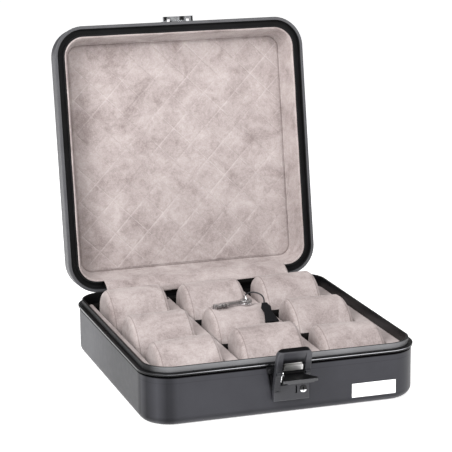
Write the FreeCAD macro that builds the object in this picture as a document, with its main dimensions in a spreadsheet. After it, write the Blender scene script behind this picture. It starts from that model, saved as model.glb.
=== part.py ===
import FreeCAD, Part
import math
import os
import Sketcher

# Watch box with nine pillows: a drawn aluminium base and lid, each closed by a black valance frame,
# hinged at the back and held by a draw latch at the front. Millimetres, +Z up, front towards -Y,
# origin at the middle of the underside. The lid and the latch are drawn closed and turned open.

VECTOR = FreeCAD.Vector
doc = FreeCAD.newDocument("watch_box")

DIMENSIONS = [
    ("case_width", 240, "shell, outside, left to right"),
    ("case_depth", 244, "shell, outside, front to back"),
    ("corner_radius", 27, "upright corners of the shells"),
    ("edge_radius", 8, "rounded edge of the bottom and of the lid's top"),
    ("wall", 1.5, "thickness of the drawn shells"),
    ("base_height", 45.6, "underside to the top of the base bead"),
    ("lid_height", 27, "underside of the lid bead to the lid's top"),
    ("rim_gap", 0.3, "between the two beads when shut"),
    ("bead_height", 2.6, "height of a valance bead"),
    ("bead_proud", 1.2, "bead, beyond the shell's face"),
    ("bead_cover", 1.3, "bead, beyond the shell's edge"),
    ("bead_round", 0.8, "rounded outer edges of the beads"),
    ("tongue_inset", 2.4, "tongue's outer face, in from the shell's face"),
    ("tongue_thickness", 2, "upstanding tongue of the base valance"),
    ("tongue_rise", 4.5, "tongue, above the base bead"),
    ("groove_gap", 0.3, "room outside and above the tongue in the lid's groove"),
    ("groove_swing", 1.7, "room inside the tongue, for the lid's swing"),
    ("groove_roof", 1.6, "lid valance above its groove"),
    ("ridge_thickness", 1.2, "inner ridge of the lid valance"),
    ("ridge_set_back", 0.6, "ridge, back from the lid's rim"),
    ("lining_thickness", 1.5, "padded lining of the lid's walls"),
    ("lining_set_back", 0.9, "lining's lower edge, back from the lid's rim"),
    ("lining_slope", 7.9, "how far the lining leans in from rim to panel"),
    ("panel_thickness", 3.4, "padded panel in the lid"),
    ("panel_gap", 0.3, "between the panel and the wall lining"),
    ("panel_radius", 10, "corners of the lid's panel"),
    ("panel_round", 2.5, "rolled edge of the lid's panel"),
    ("flap_half_width", 89, "hinge flap, half its length along the hinge"),
    ("flap_thickness", 0.9, "suede hinge flap"),
    ("flap_gap", 0.3, "flap to lining and tray"),
    ("flap_hold", 3.6, "flap's glued strip on the lid's lining"),
    ("flap_room", 1, "valance cut away beyond the flap's ends"),
    ("board_thickness", 2, "floor board under the tray"),
    ("board_inset", 8.5, "floor board, in from the shell's face"),
    ("tray_gap", 0.3, "tray to shell"),
    ("ledge_drop", 5.3, "suede ledge round the wells, below the base bead's top"),
    ("tray_floor", 2, "tray's bottom under the wells"),
    ("tray_round", 6, "tray's rounded lower edge"),
    ("well_side_room", 2, "pillow's end to its well's side"),
    ("well_margin", 9.5, "end of a well, in from the shell's face"),
    ("well_end", 35.5, "end of a well, beyond its outer pillow's middle"),
    ("column_pitch", 73, "pillow to pillow, left to right"),
    ("divider_thickness", 6, "low divider between two rows"),
    ("divider_height", 19.4, "low divider, above the well's floor"),
    ("pillow_length", 56, "pillow, left to right"),
    ("pillow_depth", 54, "pillow, front to back"),
    ("pillow_height", 52, "pillow, seat to crown"),
    ("pillow_draw", 1.6, "how far a pillow's ends are drawn in"),
    ("pillow_swell", 0.5, "how far a pillow's middle swells"),
    ("pillow_seat_gap", 0.4, "pillow above the well's floor"),
    ("hinge_back", 3.7, "hinge axis behind the shell's back"),
    ("hinge_drop", 0.7, "hinge axis below the base bead's top"),
    ("hinge_length", 44, "length of each hinge"),
    ("hinge_spread", 60, "hinge's middle from the box's middle"),
    ("hinge_clearance", 0.4, "hinge leaf to bead"),
    ("knuckle_radius", 2.2, "hinge knuckles"),
    ("knuckle_gap", 0.3, "between neighbouring knuckles"),
    ("lid_knuckle_length", 15.4, "the lid leaf's one knuckle"),
    ("hinge_pin_radius", 1.1, "hinge pin"),
    ("pin_play", 0.05, "running clearance of every pin in its bore"),
    ("pin_set_back", 0.5, "latch pin's end, in from the cover's side"),
    ("bore_set_back", 0.4, "end of a latch pin's bore, in from the cover's side"),
    ("cut_over", 1, "how far a cut runs past the face that it opens"),
    ("leaf_thickness", 1.4, "hinge leaf"),
    ("leaf_height", 18, "hinge leaf, up and down"),
    ("lid_open_angle", 99.77, "lid's opening as photographed, in degrees"),
    ("rivet_radius", 1.25, "shank of every rivet"),
    ("rivet_head_radius", 2.4, "head of every rivet, at its face"),
    ("rivet_head_height", 0.9, "head of every rivet"),
    ("leaf_rivet_spread", 14, "rivet from its leaf's middle"),
    ("leaf_rivet_reach", 10.8, "rivet from the edge of its leaf beside the bead"),
    ("rivet_crown_radius", 1.44, "head of every rivet, at its top"),
    ("rivet_edge", 3.6, "rivet from the edges of the latch's plate and the keeper's sides"),
    ("keeper_rivet_edge", 2.88, "rivet from the keeper's upper edge"),
    ("plate_thickness", 1.5, "latch's back plate"),
    ("plate_drop", 32.6, "back plate's lower edge, below the base bead's top"),
    ("plate_top_half", 18.9, "back plate, half its width at the top"),
    ("plate_bottom_half", 13.3, "back plate, half its width at the bottom"),
    ("plate_top_gap", 0.5, "back plate below the base bead"),
    ("ear_inner", 6, "ear's inner face from the middle"),
    ("ear_thickness", 2.5, "ear that carries the cover's pin"),
    ("ear_radius", 3, "ear's round end"),
    ("pivot_out", 7.5, "cover's pin, out from the shell's front"),
    ("pivot_drop", 14.6, "cover's pin, below the base bead's top"),
    ("pivot_pin_radius", 1, "cover's pin"),
    ("cover_tilt", 16, "cover's lean as photographed, in degrees"),
    ("cover_back", 6.6, "cover's back, out from the shell's front"),
    ("cover_front", 11.2, "cover's face, out from the shell's front"),
    ("cover_half", 15.1, "cover, half its width"),
    ("cover_inner_half", 10, "gap between the cover's legs, half its width"),
    ("cover_rise", 16.9, "cover's top, above the base bead's top"),
    ("cover_corner", 6, "cover's rounded upper corners"),
    ("cover_round", 0.9, "cover's softened front edges"),
    ("right_leg_drop", 17.2, "end of the cover's right leg, below the base bead's top"),
    ("left_leg_drop", 21.6, "end of the cover's left leg, below the base bead's top"),
    ("lintel_rise", 3.9, "lintel's lower edge, above the base bead's top"),
    ("lintel_lip_rise", 14.9, "top of the lintel's sloped face, above the base bead's top"),
    ("lintel_edge", 9.3, "lintel's lower edge, out from the shell's front"),
    ("hook_half", 8, "hook, half its width"),
    ("hook_plate", 1.4, "hook's plate"),
    ("hook_gap", 0.3, "hook to cover and lever"),
    ("hook_height", 12.4, "hook, lower edge to claw's top"),
    ("hook_block", 5, "height of the hook's block"),
    ("claw_height", 2, "hook's claw"),
    ("claw_gap", 0.4, "claw above the keeper's lip"),
    ("claw_reach", 3.5, "claw, in behind the keeper's lip"),
    ("lever_pivot_out", 11, "lever's pin, out from the shell's front"),
    ("lever_pivot_drop", 4.6, "lever's pin, below the base bead's top"),
    ("lever_pin_radius", 0.9, "lever's pin"),
    ("lever_barrel", 1.9, "lever's barrel round its pin"),
    ("lever_boss", 2.2, "cover's boss round the lever's pin"),
    ("lever_boss_length", 4.08, "cover's boss, along the lever's pin"),
    ("lever_length", 18, "lever, pin to tip"),
    ("lever_thickness", 2.1, "lever's plate"),
    ("lever_root_half", 8.6, "lever at its barrel, half its width"),
    ("lever_tip_half", 15.5, "lever's flared tip, half its width"),
    ("lever_flare_start", 4.5, "start of the flare, from the pin"),
    ("lever_tip_run", 4, "straight end of the flared tip"),
    ("lever_tip_round", 2.4, "round corners of the flared tip"),
    ("lever_lip", 0.9, "rolled lip at the lever's tip"),
    ("lever_fold", 74, "lever's swing on the cover, in degrees"),
    ("spring_wire", 0.8, "diameter of the latch's spring wire"),
    ("spring_length", 9, "straight arm of the spring"),
    ("spring_eye", 1.5, "spring's eye round the lever's pin, to its wire's middle"),
    ("lock_left", -14, "lock case's left side"),
    ("lock_right", 17, "lock case's right side"),
    ("lock_step", -9.5, "left side of the lock case's upper part"),
    ("lock_bottom_drop", 32.1, "lock case's lower edge, below the base bead's top"),
    ("lock_shoulder_drop", 23, "lock case's step, below the base bead's top"),
    ("lock_top_drop", 18, "lock case's top, below the base bead's top"),
    ("lock_thickness", 4.5, "lock case"),
    ("lock_round", 1.2, "lock case's softened front edges"),
    ("slot_middle", 5.6, "slot in the lock case, from the middle"),
    ("slot_width", 1.4, "slot in the lock case"),
    ("slot_length", 6.6, "slot in the lock case, up and down"),
    ("slot_depth", 2.5, "slot in the lock case"),
    ("cylinder_side", 11.6, "lock cylinder, from the middle"),
    ("cylinder_drop", 23, "lock cylinder, below the base bead's top"),
    ("cylinder_radius", 3, "lock cylinder"),
    ("cylinder_depth", 4, "lock cylinder, length in the case"),
    ("cylinder_proud", 0.5, "lock cylinder, beyond the case's face"),
    ("keyway_width", 0.9, "keyway"),
    ("keyway_length", 3.6, "keyway, across the cylinder"),
    ("keyway_depth", 2.5, "keyway"),
    ("keeper_width", 34, "keeper's flange"),
    ("keeper_height", 9, "keeper's flange, up and down"),
    ("keeper_plate", 1, "keeper's flange"),
    ("keeper_gap", 0.3, "keeper's flange to the lid bead"),
    ("shelf_half", 14.5, "keeper's shelf, half its width"),
    ("shelf_rise", 1.5, "shelf above the flange's lower edge"),
    ("shelf_reach", 6.2, "shelf, out from the shell's front"),
    ("shelf_thickness", 1.5, "keeper's shelf"),
    ("shelf_slot", 3, "each slot in the shelf, left to right"),
    ("shelf_slot_middle", 9.3, "each slot from the middle"),
    ("lip_width", 2.6, "keeper's lip, front to back"),
    ("lip_height", 3, "keeper's lip, up and down"),
    ("name_plate_margin", 22.6, "blank plate's right side, in from the shell's side"),
    ("name_plate_width", 40, "blank plate, left to right"),
    ("name_plate_height", 13, "blank plate, up and down"),
    ("name_plate_bottom", 8.3, "blank plate's lower edge, height"),
    ("name_plate_thickness", 0.5, "blank plate"),
    ("key_length", 38, "key, end to end"),
    ("key_thickness", 1.9, "key"),
    ("key_bow", 5.4, "radius of a key's bow"),
    ("key_bow_hole", 2.4, "radius of the hole in a key's bow"),
    ("key_shank", 3.6, "width of a key's shank"),
    ("key_bit", 7, "width across a key's bit"),
    ("key_bit_length", 11, "length of a key's bit"),
    ("key_tooth", 2.2, "each cut in a key's bit"),
    ("key_gap", 0.3, "lower key above the pillow, and key to key"),
    ("ring_radius", 4.2, "key ring, to the middle of its wire"),
    ("ring_wire", 0.6, "radius of the key ring's wire"),
    ("ring_lift", 1.05, "key ring's middle above the middle of the two keys"),
    ("ring_offset", 3.45, "key ring's middle behind the middle of the bows"),
    ("bow_side", 9, "middle of the keys' bows, from the pillow's middle"),
    ("bow_back", 8, "middle of the keys' bows, behind the pillow's crown"),
    ("key_turn_lower", 5, "lower key's turn from the pillow's crown, in degrees"),
    ("key_turn_upper", 11, "upper key's turn from the pillow's crown, in degrees"),
    ("cord_radius", 0.65, "thin cord, half its thickness"),
    ("tag_thickness", 1.6, "black tag"),
    ("tag_top_half", 2.3, "tag's upper edge, half its width"),
    ("tag_head_half", 4.6, "tag's six-sided head, half its width"),
    ("tag_head_length", 11, "tag's head"),
    ("tag_neck_half", 3.4, "tag's neck, half its width"),
    ("tag_foot_half", 6.4, "tag's flared foot, half its width"),
    ("tag_length", 24, "tag, end to end"),
    ("tag_angle", 28, "tag's place round the pillow's front, in degrees"),
    ("tag_side", 22, "tag's middle, from the pillow's middle"),
    ("tag_above", 11, "tag's top, above where it touches the pillow"),
]

sheet = doc.addObject("Spreadsheet::Sheet", "dims")
for row, (name, value, note) in enumerate(DIMENSIONS, start=1):
    sheet.set(f"A{row}", name)
    sheet.set(f"B{row}", str(value))
    sheet.set(f"C{row}", note)
    sheet.setAlias(f"B{row}", name)
doc.recompute()


def value_of(expression):
    """Number that an expression over the sheet gives."""
    return float(sheet.evalExpression(expression))


# Levels and faces that several pieces share, as expressions over the sheet.
SHELL_TOP = "(dims.base_height - dims.bead_cover)"
BEAD_BOTTOM = "(dims.base_height - dims.bead_height)"
LID_RIM = "(dims.base_height + dims.rim_gap)"
LID_SHELL_BOTTOM = f"({LID_RIM} + dims.bead_cover)"
LID_BEAD_TOP = f"({LID_RIM} + dims.bead_height)"
LID_TOP = f"({LID_RIM} + dims.lid_height)"
LID_CEILING = f"({LID_TOP} - dims.wall)"
TONGUE_TOP = "(dims.base_height + dims.tongue_rise)"
TONGUE_INNER = "(dims.tongue_inset + dims.tongue_thickness)"
GROOVE_OUTER = "(dims.tongue_inset - dims.groove_gap)"
GROOVE_INNER = f"({TONGUE_INNER} + dims.groove_swing)"
GROOVE_TOP = f"({TONGUE_TOP} + dims.groove_gap)"
RIDGE_INNER = f"({GROOVE_INNER} + dims.ridge_thickness)"
RIDGE_BOTTOM = f"({LID_RIM} + dims.ridge_set_back)"
LINING_BOTTOM = f"({LID_RIM} + dims.lining_set_back)"
LEDGE = "(dims.base_height - dims.ledge_drop)"
BOARD_TOP = "(dims.wall + dims.board_thickness)"
WELL_FLOOR = f"({BOARD_TOP} + dims.tray_floor)"
PILLOW_SEAT = f"({WELL_FLOOR} + dims.pillow_seat_gap)"
PILLOW_CROWN = f"({PILLOW_SEAT} + dims.pillow_height)"
WELL_WIDTH = "(dims.pillow_length + 2 * dims.well_side_room)"
WELL_REACH = "(dims.case_depth / 2 - dims.well_margin)"
ROW_PITCH = f"({WELL_REACH} - dims.well_end)"
FRONT = "(dims.case_depth / 2)"
BACK = "(dims.case_depth / 2)"
HINGE_Y = f"({BACK} + dims.hinge_back)"
HINGE_Z = "(dims.base_height - dims.hinge_drop)"
KEEPER_BOTTOM = f"({LID_BEAD_TOP} + dims.keeper_gap)"
SHELF_BOTTOM = f"({KEEPER_BOTTOM} + dims.shelf_rise)"
LIP_TOP = f"({SHELF_BOTTOM} + dims.lip_height)"
CLAW_BOTTOM = f"({LIP_TOP} + dims.claw_gap)"
CLAW_TOP = f"({CLAW_BOTTOM} + dims.claw_height)"
PIVOT_Z = "(dims.base_height - dims.pivot_drop)"
LEVER_PIVOT_Z = "(dims.base_height - dims.lever_pivot_drop)"
LINTEL_BOTTOM = "(dims.base_height + dims.lintel_rise)"
LINTEL_LIP = "(dims.base_height + dims.lintel_lip_rise)"
COVER_TOP = "(dims.base_height + dims.cover_rise)"
CYLINDER_Z = "(dims.base_height - dims.cylinder_drop)"
HOOK_BACK = "(dims.cover_back + dims.hook_gap)"
HOOK_FACE = f"({HOOK_BACK} + dims.hook_plate)"
LEVER_BACK = "(dims.cover_front + dims.hook_gap)"
LEVER_FACE = f"({LEVER_BACK} + dims.lever_thickness)"

# Rest places of the pieces that are drawn closed.
hinge_point = VECTOR(0, value_of(HINGE_Y), value_of(HINGE_Z))
LID_REST = FreeCAD.Placement(VECTOR(), FreeCAD.Rotation(VECTOR(-1, 0, 0), value_of("dims.lid_open_angle")),
                             hinge_point)
pivot_point = VECTOR(0, value_of(f"-{FRONT} - dims.pivot_out"), value_of(PIVOT_Z))
COVER_REST = FreeCAD.Placement(VECTOR(), FreeCAD.Rotation(VECTOR(1, 0, 0), value_of("dims.cover_tilt")),
                               pivot_point)
lever_point = VECTOR(0, value_of(f"-{FRONT} - dims.lever_pivot_out"), value_of(LEVER_PIVOT_Z))
LEVER_SWING = FreeCAD.Placement(VECTOR(), FreeCAD.Rotation(VECTOR(1, 0, 0), value_of("dims.lever_fold")),
                                lever_point)
LEVER_REST = COVER_REST.multiply(LEVER_SWING)

pieces = []


def keep(piece, label, placement=None):
    """Name a finished piece and put it in its rest place."""
    piece.Label = label
    if placement is not None:
        piece.Placement = placement
    pieces.append(piece)
    return piece


def new_body(label, placement=None):
    return keep(doc.addObject("PartDesign::Body", label), label, placement)


def new_sketch(body, role, offset="0"):
    """Sketch on one of the body's own planes, moved along the plane's normal.

    XY_Plane faces +Z. XZ_Plane faces -Y, which is out of the box's front. YZ_Plane faces +X.
    """
    sketch = body.newObject("Sketcher::SketchObject", "sketch")
    plane = [feature for feature in body.Origin.OriginFeatures if feature.Role == role][0]
    sketch.AttachmentSupport = [(plane, "")]
    sketch.MapMode = "FlatFace"
    sketch.setExpression("AttachmentOffset.Base.z", offset)
    return sketch


def bind(sketch, constraint, expression):
    """Add a sized constraint whose value follows the sheet."""
    index = sketch.addConstraint(constraint)
    name = f"size{index}"
    sketch.renameConstraint(index, name)
    sketch.setExpression(f"Constraints.{name}", expression)


def locate(sketch, element, point, x, y):
    """Fix one point of a sketch element from the sketch's origin."""
    bind(sketch, Sketcher.Constraint("DistanceX", -1, 1, element, point, value_of(x)), x)
    bind(sketch, Sketcher.Constraint("DistanceY", -1, 1, element, point, value_of(y)), y)


def polygon(sketch, corners):
    """Closed outline through corners given as pairs of expressions."""
    spots = [VECTOR(value_of(x), value_of(y), 0) for x, y in corners]
    first = sketch.GeometryCount
    count = len(corners)
    for index in range(count):
        sketch.addGeometry(Part.LineSegment(spots[index], spots[(index + 1) % count]), False)
    for index, (x, y) in enumerate(corners):
        following = first + (index + 1) % count
        sketch.addConstraint(Sketcher.Constraint("Coincident", first + index, 2, following, 1))
        locate(sketch, first + index, 1, x, y)


def rectangle(sketch, left, bottom, right, top):
    polygon(sketch, [(left, bottom), (right, bottom), (right, top), (left, top)])


def circle(sketch, x, y, radius):
    spot = VECTOR(value_of(x), value_of(y), 0)
    element = sketch.addGeometry(Part.Circle(spot, VECTOR(0, 0, 1), value_of(radius)), False)
    bind(sketch, Sketcher.Constraint("Radius", element, value_of(radius)), radius)
    locate(sketch, element, 3, x, y)


def rounded_rectangle(sketch, width, depth, radius):
    """Rectangle round the sketch's origin with four equal round corners."""
    half_x, half_y, r = value_of(width) / 2, value_of(depth) / 2, value_of(radius)
    centre_x, centre_y = half_x - r, half_y - r
    centres = [(centre_x, centre_y), (-centre_x, centre_y), (-centre_x, -centre_y), (centre_x, -centre_y)]
    first = sketch.GeometryCount
    quarter = math.pi / 2
    for index, (x, y) in enumerate(centres):
        start = index * quarter
        whole = Part.Circle(VECTOR(x, y, 0), VECTOR(0, 0, 1), r)
        sketch.addGeometry(Part.ArcOfCircle(whole, start, start + quarter), False)
    for index in range(4):
        leave = sketch.Geometry[first + index].EndPoint
        arrive = sketch.Geometry[first + (index + 1) % 4].StartPoint
        sketch.addGeometry(Part.LineSegment(leave, arrive), False)
    for index in range(4):
        side = first + 4 + index
        sketch.addConstraint(Sketcher.Constraint("Tangent", first + index, 2, side, 1))
        sketch.addConstraint(Sketcher.Constraint("Tangent", side, 2, first + (index + 1) % 4, 1))
        sketch.addConstraint(Sketcher.Constraint("Vertical" if index % 2 else "Horizontal", side))
        if index:
            sketch.addConstraint(Sketcher.Constraint("Equal", first, first + index))
    bind(sketch, Sketcher.Constraint("Radius", first, r), radius)
    locate(sketch, first, 3, f"({width}) / 2 - ({radius})", f"({depth}) / 2 - ({radius})")
    locate(sketch, first + 2, 3, f"({radius}) - ({width}) / 2", f"({radius}) - ({depth}) / 2")


def case_outline(sketch, inset):
    """The case's plan outline, moved inwards by inset."""
    rounded_rectangle(sketch, f"dims.case_width - 2 * ({inset})", f"dims.case_depth - 2 * ({inset})",
                      f"dims.corner_radius - ({inset})")


def pad(body, sketch, length, both_ways=False):
    feature = body.newObject("PartDesign::Pad", "pad")
    feature.Profile = sketch
    feature.SideType = "Symmetric" if both_ways else "One side"
    feature.setExpression("Length", length)
    doc.recompute()
    return feature


def pocket(body, sketch, length, both_ways=False, forwards=False):
    """Cut against the sketch's normal, along it when forwards, or both ways."""
    before = body.Shape.Volume
    feature = body.newObject("PartDesign::Pocket", "pocket")
    feature.Profile = sketch
    feature.SideType = "Symmetric" if both_ways else "One side"
    feature.Reversed = forwards
    feature.setExpression("Length", length)
    doc.recompute()
    if body.Shape.Volume >= before:
        raise RuntimeError(f"a cut in {body.Label} removed nothing")
    return feature


def round_edges(body, base, radius, chosen):
    """Fillet the edges of base whose bounding box passes the test."""
    names = [f"Edge{i}" for i, edge in enumerate(base.Shape.Edges, start=1) if chosen(edge.BoundBox)]
    if not names:
        raise RuntimeError(f"no edge to round in {body.Label}")
    feature = body.newObject("PartDesign::Fillet", "fillet")
    feature.Base = (base, names)
    feature.setExpression("Radius", radius)
    doc.recompute()
    return feature


TOUCH = 1e-4


def hollow_out(body, base, level):
    """Leave a skin as thick as the wall, open at the flat face at one height."""
    height = value_of(level)
    faces = [f"Face{i}" for i, face in enumerate(base.Shape.Faces, start=1)
             if abs(face.BoundBox.ZMin - height) < TOUCH and abs(face.BoundBox.ZMax - height) < TOUCH]
    feature = body.newObject("PartDesign::Thickness", "skin")
    feature.Base = (base, faces)
    feature.setExpression("Value", "dims.wall")
    feature.Reversed = True
    feature.Join = "Intersection"
    doc.recompute()
    return feature


def at_level(level):
    """Test for edges that lie flat at one height."""
    height = value_of(level)
    return lambda box: abs(box.ZMin - height) < TOUCH and abs(box.ZMax - height) < TOUCH


def ring_pad(body, outer_inset, inner_inset, bottom, top):
    """Closed frame between two insets of the case's outline and two levels."""
    sketch = new_sketch(body, "XY_Plane", bottom)
    case_outline(sketch, outer_inset)
    case_outline(sketch, inner_inset)
    return pad(body, sketch, f"({top}) - ({bottom})")


# Places of the rivets on the shells: x and z of each shank.
leaf_middle_base = f"({BEAD_BOTTOM} - dims.hinge_clearance - dims.leaf_rivet_reach)"
leaf_middle_lid = f"({LID_BEAD_TOP} + dims.hinge_clearance + dims.leaf_rivet_reach)"
rivet_columns = [f"({side} * dims.hinge_spread + {place} * dims.leaf_rivet_spread)"
                 for side in (-1, 1) for place in (-1, 1)]
latch_rivet_height = f"({BEAD_BOTTOM} - dims.plate_top_gap - dims.rivet_edge)"
latch_rivet_columns = [f"({side} * (dims.plate_top_half - dims.rivet_edge))" for side in (-1, 1)]
keeper_rivet_height = f"({KEEPER_BOTTOM} + dims.keeper_height - dims.keeper_rivet_edge)"
keeper_rivet_columns = [f"({side} * (dims.keeper_width / 2 - dims.rivet_edge))" for side in (-1, 1)]


def rivet_holes(body, columns, height, at_back):
    """Round holes through the front or back wall of a shell."""
    sketch = new_sketch(body, "XZ_Plane")
    for column in columns:
        circle(sketch, column, height, "dims.rivet_radius")
    pocket(body, sketch, f"{FRONT} + dims.cut_over", forwards=not at_back)


# Base shell: one drawn and anodised sheet with a flat underside.
base_shell = new_body("base_shell")
outline = new_sketch(base_shell, "XY_Plane")
case_outline(outline, "0")
block = pad(base_shell, outline, SHELL_TOP)
hollow_out(base_shell, round_edges(base_shell, block, "dims.edge_radius", at_level("0")), SHELL_TOP)
rivet_holes(base_shell, rivet_columns, leaf_middle_base, at_back=True)
rivet_holes(base_shell, latch_rivet_columns, latch_rivet_height, at_back=False)

# Base valance: a closing frame pushed over the shell's edge, with a bead outside and a tongue on top.
# The tongue is cut away at the back where the flap passes.
base_valance = new_body("base_valance")
ring_pad(base_valance, "-dims.bead_proud", TONGUE_INNER, SHELL_TOP, "dims.base_height")
ring_pad(base_valance, "-dims.bead_proud", "0", BEAD_BOTTOM, SHELL_TOP)
ring_pad(base_valance, "dims.wall", TONGUE_INNER, LEDGE, SHELL_TOP)
with_tongue = ring_pad(base_valance, "dims.tongue_inset", TONGUE_INNER, "dims.base_height", TONGUE_TOP)


def bead_edge(*levels):
    """Test for the outermost edges of a bead at the given heights."""
    heights = [value_of(level) for level in levels]
    reach_x = value_of("dims.case_width / 2 + dims.bead_proud")
    reach_y = value_of("dims.case_depth / 2 + dims.bead_proud")

    def chosen(box):
        flat = any(abs(box.ZMin - height) < TOUCH and abs(box.ZMax - height) < TOUCH for height in heights)
        outer = (abs(box.XMax - reach_x) < TOUCH or abs(box.XMin + reach_x) < TOUCH
                 or abs(box.YMax - reach_y) < TOUCH or abs(box.YMin + reach_y) < TOUCH)
        return flat and outer
    return chosen


round_edges(base_valance, with_tongue, "dims.bead_round", bead_edge(BEAD_BOTTOM, "dims.base_height"))
relief = new_sketch(base_valance, "XY_Plane", "dims.base_height")
flap_cut = "(dims.flap_half_width + dims.flap_room)"
rectangle(relief, f"-{flap_cut}", "0", flap_cut, BACK)
pocket(base_valance, relief, "dims.tongue_rise + dims.cut_over", forwards=True)

# Floor board: stiff board under the tray.
floor_board = new_body("floor_board")
outline = new_sketch(floor_board, "XY_Plane", "dims.wall")
case_outline(outline, "dims.board_inset")
pad(floor_board, outline, "dims.board_thickness")

# Tray: suede-covered insert with three long wells, held down by the valance's inner leg.
tray = new_body("tray")
outline = new_sketch(tray, "XY_Plane", BOARD_TOP)
case_outline(outline, "dims.wall + dims.tray_gap")
block = pad(tray, outline, f"{LEDGE} - {BOARD_TOP}")
round_edges(tray, block, "dims.tray_round", at_level(BOARD_TOP))
wells = new_sketch(tray, "XY_Plane", LEDGE)
for column in (-1, 0, 1):
    middle = f"{column} * dims.column_pitch"
    rectangle(wells, f"{middle} - {WELL_WIDTH} / 2", f"-{WELL_REACH}",
              f"{middle} + {WELL_WIDTH} / 2", WELL_REACH)
pocket(tray, wells, f"{LEDGE} - {WELL_FLOOR}")


def group(label, members, placement=None):
    """Several separate solids that make one node."""
    compound = doc.addObject("Part::Compound", label)
    compound.Links = members
    return keep(compound, label, placement)


def new_box(length, width, height, x, y, z):
    box = doc.addObject("Part::Box", "block")
    for name, expression in (("Length", length), ("Width", width), ("Height", height),
                             ("Placement.Base.x", x), ("Placement.Base.y", y), ("Placement.Base.z", z)):
        box.setExpression(name, expression)
    return box


# Row dividers: low suede-covered strips across each well.
dividers = []
for column in (-1, 0, 1):
    for row in (-1, 1):
        dividers.append(new_box(WELL_WIDTH, "dims.divider_thickness", "dims.divider_height",
                                f"{column} * dims.column_pitch - {WELL_WIDTH} / 2",
                                f"{row} * {ROW_PITCH} / 2 - dims.divider_thickness / 2", WELL_FLOOR))
group("row_dividers", dividers)

# Pillows: stuffed suede, half round on top, with flat end panels sewn in and drawn in a little.
# Each is a loft from end to end through sections of straight lines and two arcs.
pillow_length = value_of("dims.pillow_length")
pillow_depth = value_of("dims.pillow_depth")
pillow_height = value_of("dims.pillow_height")
pillow_draw = value_of("dims.pillow_draw")
pillow_swell = value_of("dims.pillow_swell")


def pillow_section(x, shrink):
    """Section across a pillow at x, its sides and crown shrunk by the given amount."""
    half = pillow_depth / 2 - shrink
    crown = pillow_height - shrink
    shoulder = crown - half
    slant = half * math.sqrt(0.5)
    corners = [VECTOR(x, half, 0), VECTOR(x, half, shoulder), VECTOR(x, 0, crown),
               VECTOR(x, -half, shoulder), VECTOR(x, -half, 0)]
    back_arc = Part.Arc(corners[1], VECTOR(x, slant, shoulder + slant), corners[2]).toShape()
    front_arc = Part.Arc(corners[2], VECTOR(x, -slant, shoulder + slant), corners[3]).toShape()
    return Part.Wire([Part.makeLine(corners[0], corners[1]), back_arc, front_arc,
                      Part.makeLine(corners[3], corners[4]), Part.makeLine(corners[4], corners[0])])


pillow_end = pillow_length / 2
inner_end = pillow_end - 2 * pillow_draw
sections = [pillow_section(-pillow_end, pillow_draw)]
for share in (-1, -0.5, 0, 0.5, 1):
    sections.append(pillow_section(share * inner_end, pillow_swell * share ** 2))
sections.append(pillow_section(pillow_end, pillow_draw))
pillow_shape = Part.makeLoft(sections, True, True)
row_names = {-1: "front", 0: "middle", 1: "back"}
column_names = {-1: "left", 0: "centre", 1: "right"}
for row in (-1, 0, 1):
    for column in (-1, 0, 1):
        label = f"pillow_{row_names[row]}_{column_names[column]}"
        pillow = doc.addObject("Part::Feature", label)
        pillow.Shape = pillow_shape
        place = VECTOR(column * value_of("dims.column_pitch"), row * value_of(ROW_PITCH),
                       value_of(PILLOW_SEAT))
        keep(pillow, label, FreeCAD.Placement(place, FreeCAD.Rotation()))

# Lid shell: drawn like the base, open downwards.
lid_shell = new_body("lid_shell", LID_REST)
outline = new_sketch(lid_shell, "XY_Plane", LID_SHELL_BOTTOM)
case_outline(outline, "0")
block = pad(lid_shell, outline, f"{LID_TOP} - {LID_SHELL_BOTTOM}")
hollow_out(lid_shell, round_edges(lid_shell, block, "dims.edge_radius", at_level(LID_TOP)), LID_SHELL_BOTTOM)
rivet_holes(lid_shell, rivet_columns, leaf_middle_lid, at_back=True)
rivet_holes(lid_shell, keeper_rivet_columns, keeper_rivet_height, at_back=False)

# Lid valance: the matching frame, with a groove that the base's tongue enters.
lid_valance = new_body("lid_valance", LID_REST)
ring_pad(lid_valance, "-dims.bead_proud", GROOVE_OUTER, LID_RIM, LID_SHELL_BOTTOM)
ring_pad(lid_valance, "-dims.bead_proud", "0", LID_SHELL_BOTTOM, LID_BEAD_TOP)
ring_pad(lid_valance, "dims.wall", GROOVE_OUTER, LID_SHELL_BOTTOM, GROOVE_TOP)
ring_pad(lid_valance, "dims.wall", RIDGE_INNER, GROOVE_TOP, f"{GROOVE_TOP} + dims.groove_roof")
with_ridge = ring_pad(lid_valance, GROOVE_INNER, RIDGE_INNER, RIDGE_BOTTOM, GROOVE_TOP)
round_edges(lid_valance, with_ridge, "dims.bead_round", bead_edge(LID_RIM, LID_BEAD_TOP))
relief = new_sketch(lid_valance, "XY_Plane", GROOVE_TOP)
rectangle(relief, f"-{flap_cut}", "0", flap_cut, f"{BACK} - {GROOVE_OUTER}")
pocket(lid_valance, relief, "dims.tongue_rise + dims.rim_gap + dims.cut_over")

# Lid wall lining: padded suede that leans in from the valance to the panel.
lid_wall_lining = new_body("lid_wall_lining", LID_REST)


def lining_outline(level, inset, radius):
    sketch = new_sketch(lid_wall_lining, "XY_Plane", level)
    rounded_rectangle(sketch, f"dims.case_width - 2 * ({inset})", f"dims.case_depth - 2 * ({inset})", radius)
    return sketch


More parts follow.
